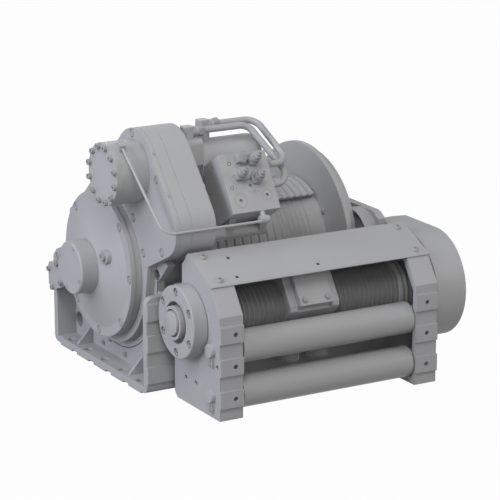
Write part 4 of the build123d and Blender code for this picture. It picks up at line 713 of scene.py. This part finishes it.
class WINCH_OT_cover_screws(bpy.types.Operator):
    """Round-headed screws of the top cover, discs of painted shade for its holes, and the screws of the
    carriage
    """
    bl_idname = "winch.cover_screws"
    bl_label = "Cover screws"

    def execute(self, context):
        course = slope_high - slope_low
        up = Vector((0, -course.z, course.y)).normalized()

        def on_slope(x, share):
            return facing(slope_low + course * share + up * slope_sheet + Vector((x, 0, 0)), up)

        matrices = [on_slope(x, share) for x in (cheek_left + cover_screw_in, cheek_right - cover_screw_in)
                    for share in cover_screw_shares]
        add_heads("cover_screw_heads", button_head(radius=0.0086, height=0.0052, socket=0.0022), matrices,
                  nodes=("top_cover_screws",))
        # The holes of the cover are drawn as discs of painted shade
        add_heads("cover_hole_shades", painted_shade_disc(radius=0.0036), [on_slope(*hole) for hole in cover_hole_shades],
                  finish="shadow")

        slant = slant_high - slant_low
        along = slant.normalized()
        out = Vector((0, -along.z, along.y))
        matrices = [facing(slant_low + along * reach + out * carriage_plate_out
                           + Vector((carriage_x + side, 0, 0)), out)
                    for reach in (carriage_screw_in, slant.length - carriage_screw_in)
                    for side in (-carriage_screw_side, carriage_screw_side)]
        add_heads("carriage_screw_heads", hexagon_head(half=0.005, height=0.0055, washer=0.0075), matrices,
                  body="carriage_body", nodes=("carriage_screws",))
        return {"FINISHED"}


def add_folds(name, start, end, count, inner, height, wall, fold, nodes=()):
    """Folded tube around the spindle, closed along its inside."""
    pitch = (end - start) / count
    profile = [(start + (i + along) * pitch, inner + height * up)
               for i in range(count) for along, up in fold]
    profile += [(end, inner), (end, inner - wall), (start, inner - wall), (start, inner)]
    bm = bmesh.new()
    spin_about_x(bm, profile, spindle_axis, steps=72)
    return add_piece(name, bm, "frame_body", "rubber_and_shade", nodes)


class WINCH_OT_bellows(bpy.types.Operator):
    """Finely pleated bellows on both sides of the carriage"""
    bl_idname = "winch.bellows"
    bl_label = "Bellows"

    def execute(self, context):
        sizes = context.scene.winch_sizes
        for node, carriage_on_right in (("left_bellows", True), ("right_bellows", False)):
            low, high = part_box(node)
            inner = (high.z - low.z) / 2 - sizes.pleat_depth
            piece = add_folds(node + "_pleats", low.x, high.x, round((high.x - low.x) / sizes.pleat_pitch),
                              inner, sizes.pleat_depth, wall=0.0024, fold=pleat_fold, nodes=(node,))
            piece.parent = None      # the pleats lie between two bodies, so they get no parent
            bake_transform(piece)
        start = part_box("right_bellows")[1].x
        collar_folds = 3
        add_folds("bellows_collar", start, start + collar_folds * sizes.pleat_pitch, collar_folds,
                  inner=0.0664, height=0.0032, wall=0.0003, fold=collar_fold)
        return {"FINISHED"}


# Stage

# Lamps, as name, place, width, power and colour, and the point that they look at
warm_white, plain_white = (1.0, 0.98, 0.96), (1.0, 1.0, 1.0)
pale_blue, soft_blue = (0.90, 0.94, 1.0), (0.86, 0.91, 1.0)
lamps = (("key", (-1.9, -2.8, 3.9), 1.8, 70.0, warm_white),
         ("left_fill", (-4.0, -0.6, 1.5), 2.2, 88.0, soft_blue),
         ("left_top", (-3.2, 0.4, 3.4), 2.0, 52.0, pale_blue),
         ("top", (0.4, -0.9, 3.7), 2.0, 26.0, warm_white),
         ("front_fill", (-1.5, -4.6, 1.7), 2.0, 42.0, warm_white),
         ("right_fill", (3.6, -2.6, 1.6), 1.8, 46.0, warm_white),
         ("back_fill", (1.8, 4.2, 2.6), 2.0, 34.0, plain_white))
lamp_aim = Vector((0, -0.1, 0.25))

# Camera: where it stands, how far it is turned and raised, and its focal length in pixels
camera_place = (-2.5193, -4.5473, 1.6577)
camera_turn, camera_rise = radians(-29.853), radians(15.338)
focal_length, photo_width, sensor_width = 2385.245, 500, 36.0


def add_floor(colour):
    """Wide floor that looks white and throws back a little light."""
    paper_white, half_width = 0.98, 14
    finish = new_finish("studio_floor")
    camera_ray, glossy_ray, through_ray = [finish.node("ShaderNodeLightPath", output=ray) for ray in
                                           ("Is Camera Ray", "Is Glossy Ray", "Is Transmission Ray")]
    white_share = (camera_ray + glossy_ray + through_ray) * paper_white
    paper = finish.node("ShaderNodeBsdfDiffuse", inputs={"Color": (*colour, 1)})
    white = finish.node("ShaderNodeEmission", inputs={"Color": (*plain_white, 1), "Strength": 1.0})
    mixed = finish.node("ShaderNodeMixShader", inputs={"Fac": white_share, 1: paper, 2: white})
    bm = bmesh.new()
    bmesh.ops.create_grid(bm, x_segments=1, y_segments=1, size=half_width)
    mesh = mesh_of("floor", bm)
    mesh.materials.append(finish.close(mixed))
    placed("floor", mesh)


def studio_world():
    """Dim cool light from all round, with plain white behind the winch."""
    room = Finish(bpy.data.worlds.new("studio"))
    ambient = room.node("ShaderNodeBackground", inputs={"Color": (0.93, 0.96, 1.0, 1), "Strength": 0.13})
    plain = room.node("ShaderNodeBackground", inputs={"Color": (*plain_white, 1), "Strength": 1.0})
    camera_ray = room.node("ShaderNodeLightPath", output="Is Camera Ray")
    mixed = room.node("ShaderNodeMixShader", inputs={"Fac": camera_ray, 1: ambient, 2: plain})
    return room.close(mixed, end="ShaderNodeOutputWorld")


def add_lamp(name, place, width, power, colour):
    """Round soft lamp that looks at the middle of the winch."""
    light = bpy.data.lights.new(name, "AREA")
    light.shape = "DISK"
    light.size = width
    light.energy = power
    light.color = colour
    lamp = placed(name, light)
    lamp.location = place
    lamp.rotation_euler = (lamp_aim - Vector(place)).to_track_quat("-Z", "Y").to_euler()


def add_camera():
    """Camera with the photograph's viewing angle."""
    right = Vector((cos(camera_turn), sin(camera_turn), 0))
    back = Vector((sin(camera_turn) * cos(camera_rise), -cos(camera_turn) * cos(camera_rise),
                   sin(camera_rise)))
    data = bpy.data.cameras.new("camera")
    data.sensor_width = sensor_width
    data.lens = focal_length / photo_width * sensor_width
    data.clip_end = 60
    camera = placed("camera", data)
    turned = Matrix((right, back.cross(right), back)).transposed().to_4x4()
    camera.matrix_world = Matrix.Translation(camera_place) @ turned
    return camera


class WINCH_OT_stage(bpy.types.Operator):
    """White floor, soft studio light and the camera"""
    bl_idname = "winch.stage"
    bl_label = "Stage"

    def execute(self, context):
        scene = context.scene
        add_floor(scene.winch_colours.floor)
        scene.world = studio_world()
        for lamp in lamps:
            add_lamp(*lamp)
        scene.camera = add_camera()
        scene.view_settings.view_transform = "Standard"
        return {"FINISHED"}


# Panel, and the order of the steps

class WINCH_PT_panel(bpy.types.Panel):
    """Sizes, colours and steps that dress the winch"""
    bl_idname = "WINCH_PT_panel"
    bl_label = "Winch"
    bl_space_type = "VIEW_3D"
    bl_region_type = "UI"
    bl_category = "Winch"

    def draw(self, context):
        scene = context.scene
        for group, kind in ((scene.winch_sizes, WinchSizes), (scene.winch_colours, WinchColours)):
            for name in kind.__annotations__:
                self.layout.prop(group, name)
        for step in STEPS:
            self.layout.operator(step.bl_idname)


STEPS = (WINCH_OT_finishes, WINCH_OT_rope_drum, WINCH_OT_gearbox_screws, WINCH_OT_cap_screws,
         WINCH_OT_spindle_end, WINCH_OT_valves, WINCH_OT_tube_nuts, WINCH_OT_cover_screws,
         WINCH_OT_bellows, WINCH_OT_stage)
CLASSES = (WinchSizes, WinchColours) + STEPS + (WINCH_PT_panel,)


def register():
    for each in CLASSES:
        bpy.utils.register_class(each)
    bpy.types.Scene.winch_sizes = bpy.props.PointerProperty(type=WinchSizes)
    bpy.types.Scene.winch_colours = bpy.props.PointerProperty(type=WinchColours)


def unregister():
    del bpy.types.Scene.winch_sizes
    del bpy.types.Scene.winch_colours
    for each in reversed(CLASSES):
        bpy.utils.unregister_class(each)


def main():
    """Registers the steps and runs each of them."""
    register()
    for step in STEPS:
        group, name = step.bl_idname.split(".")
        result = getattr(getattr(bpy.ops, group), name)()
        if result != {"FINISHED"}:
            raise RuntimeError(step.bl_label + " did not finish")


if __name__ == "__main__":
    main()
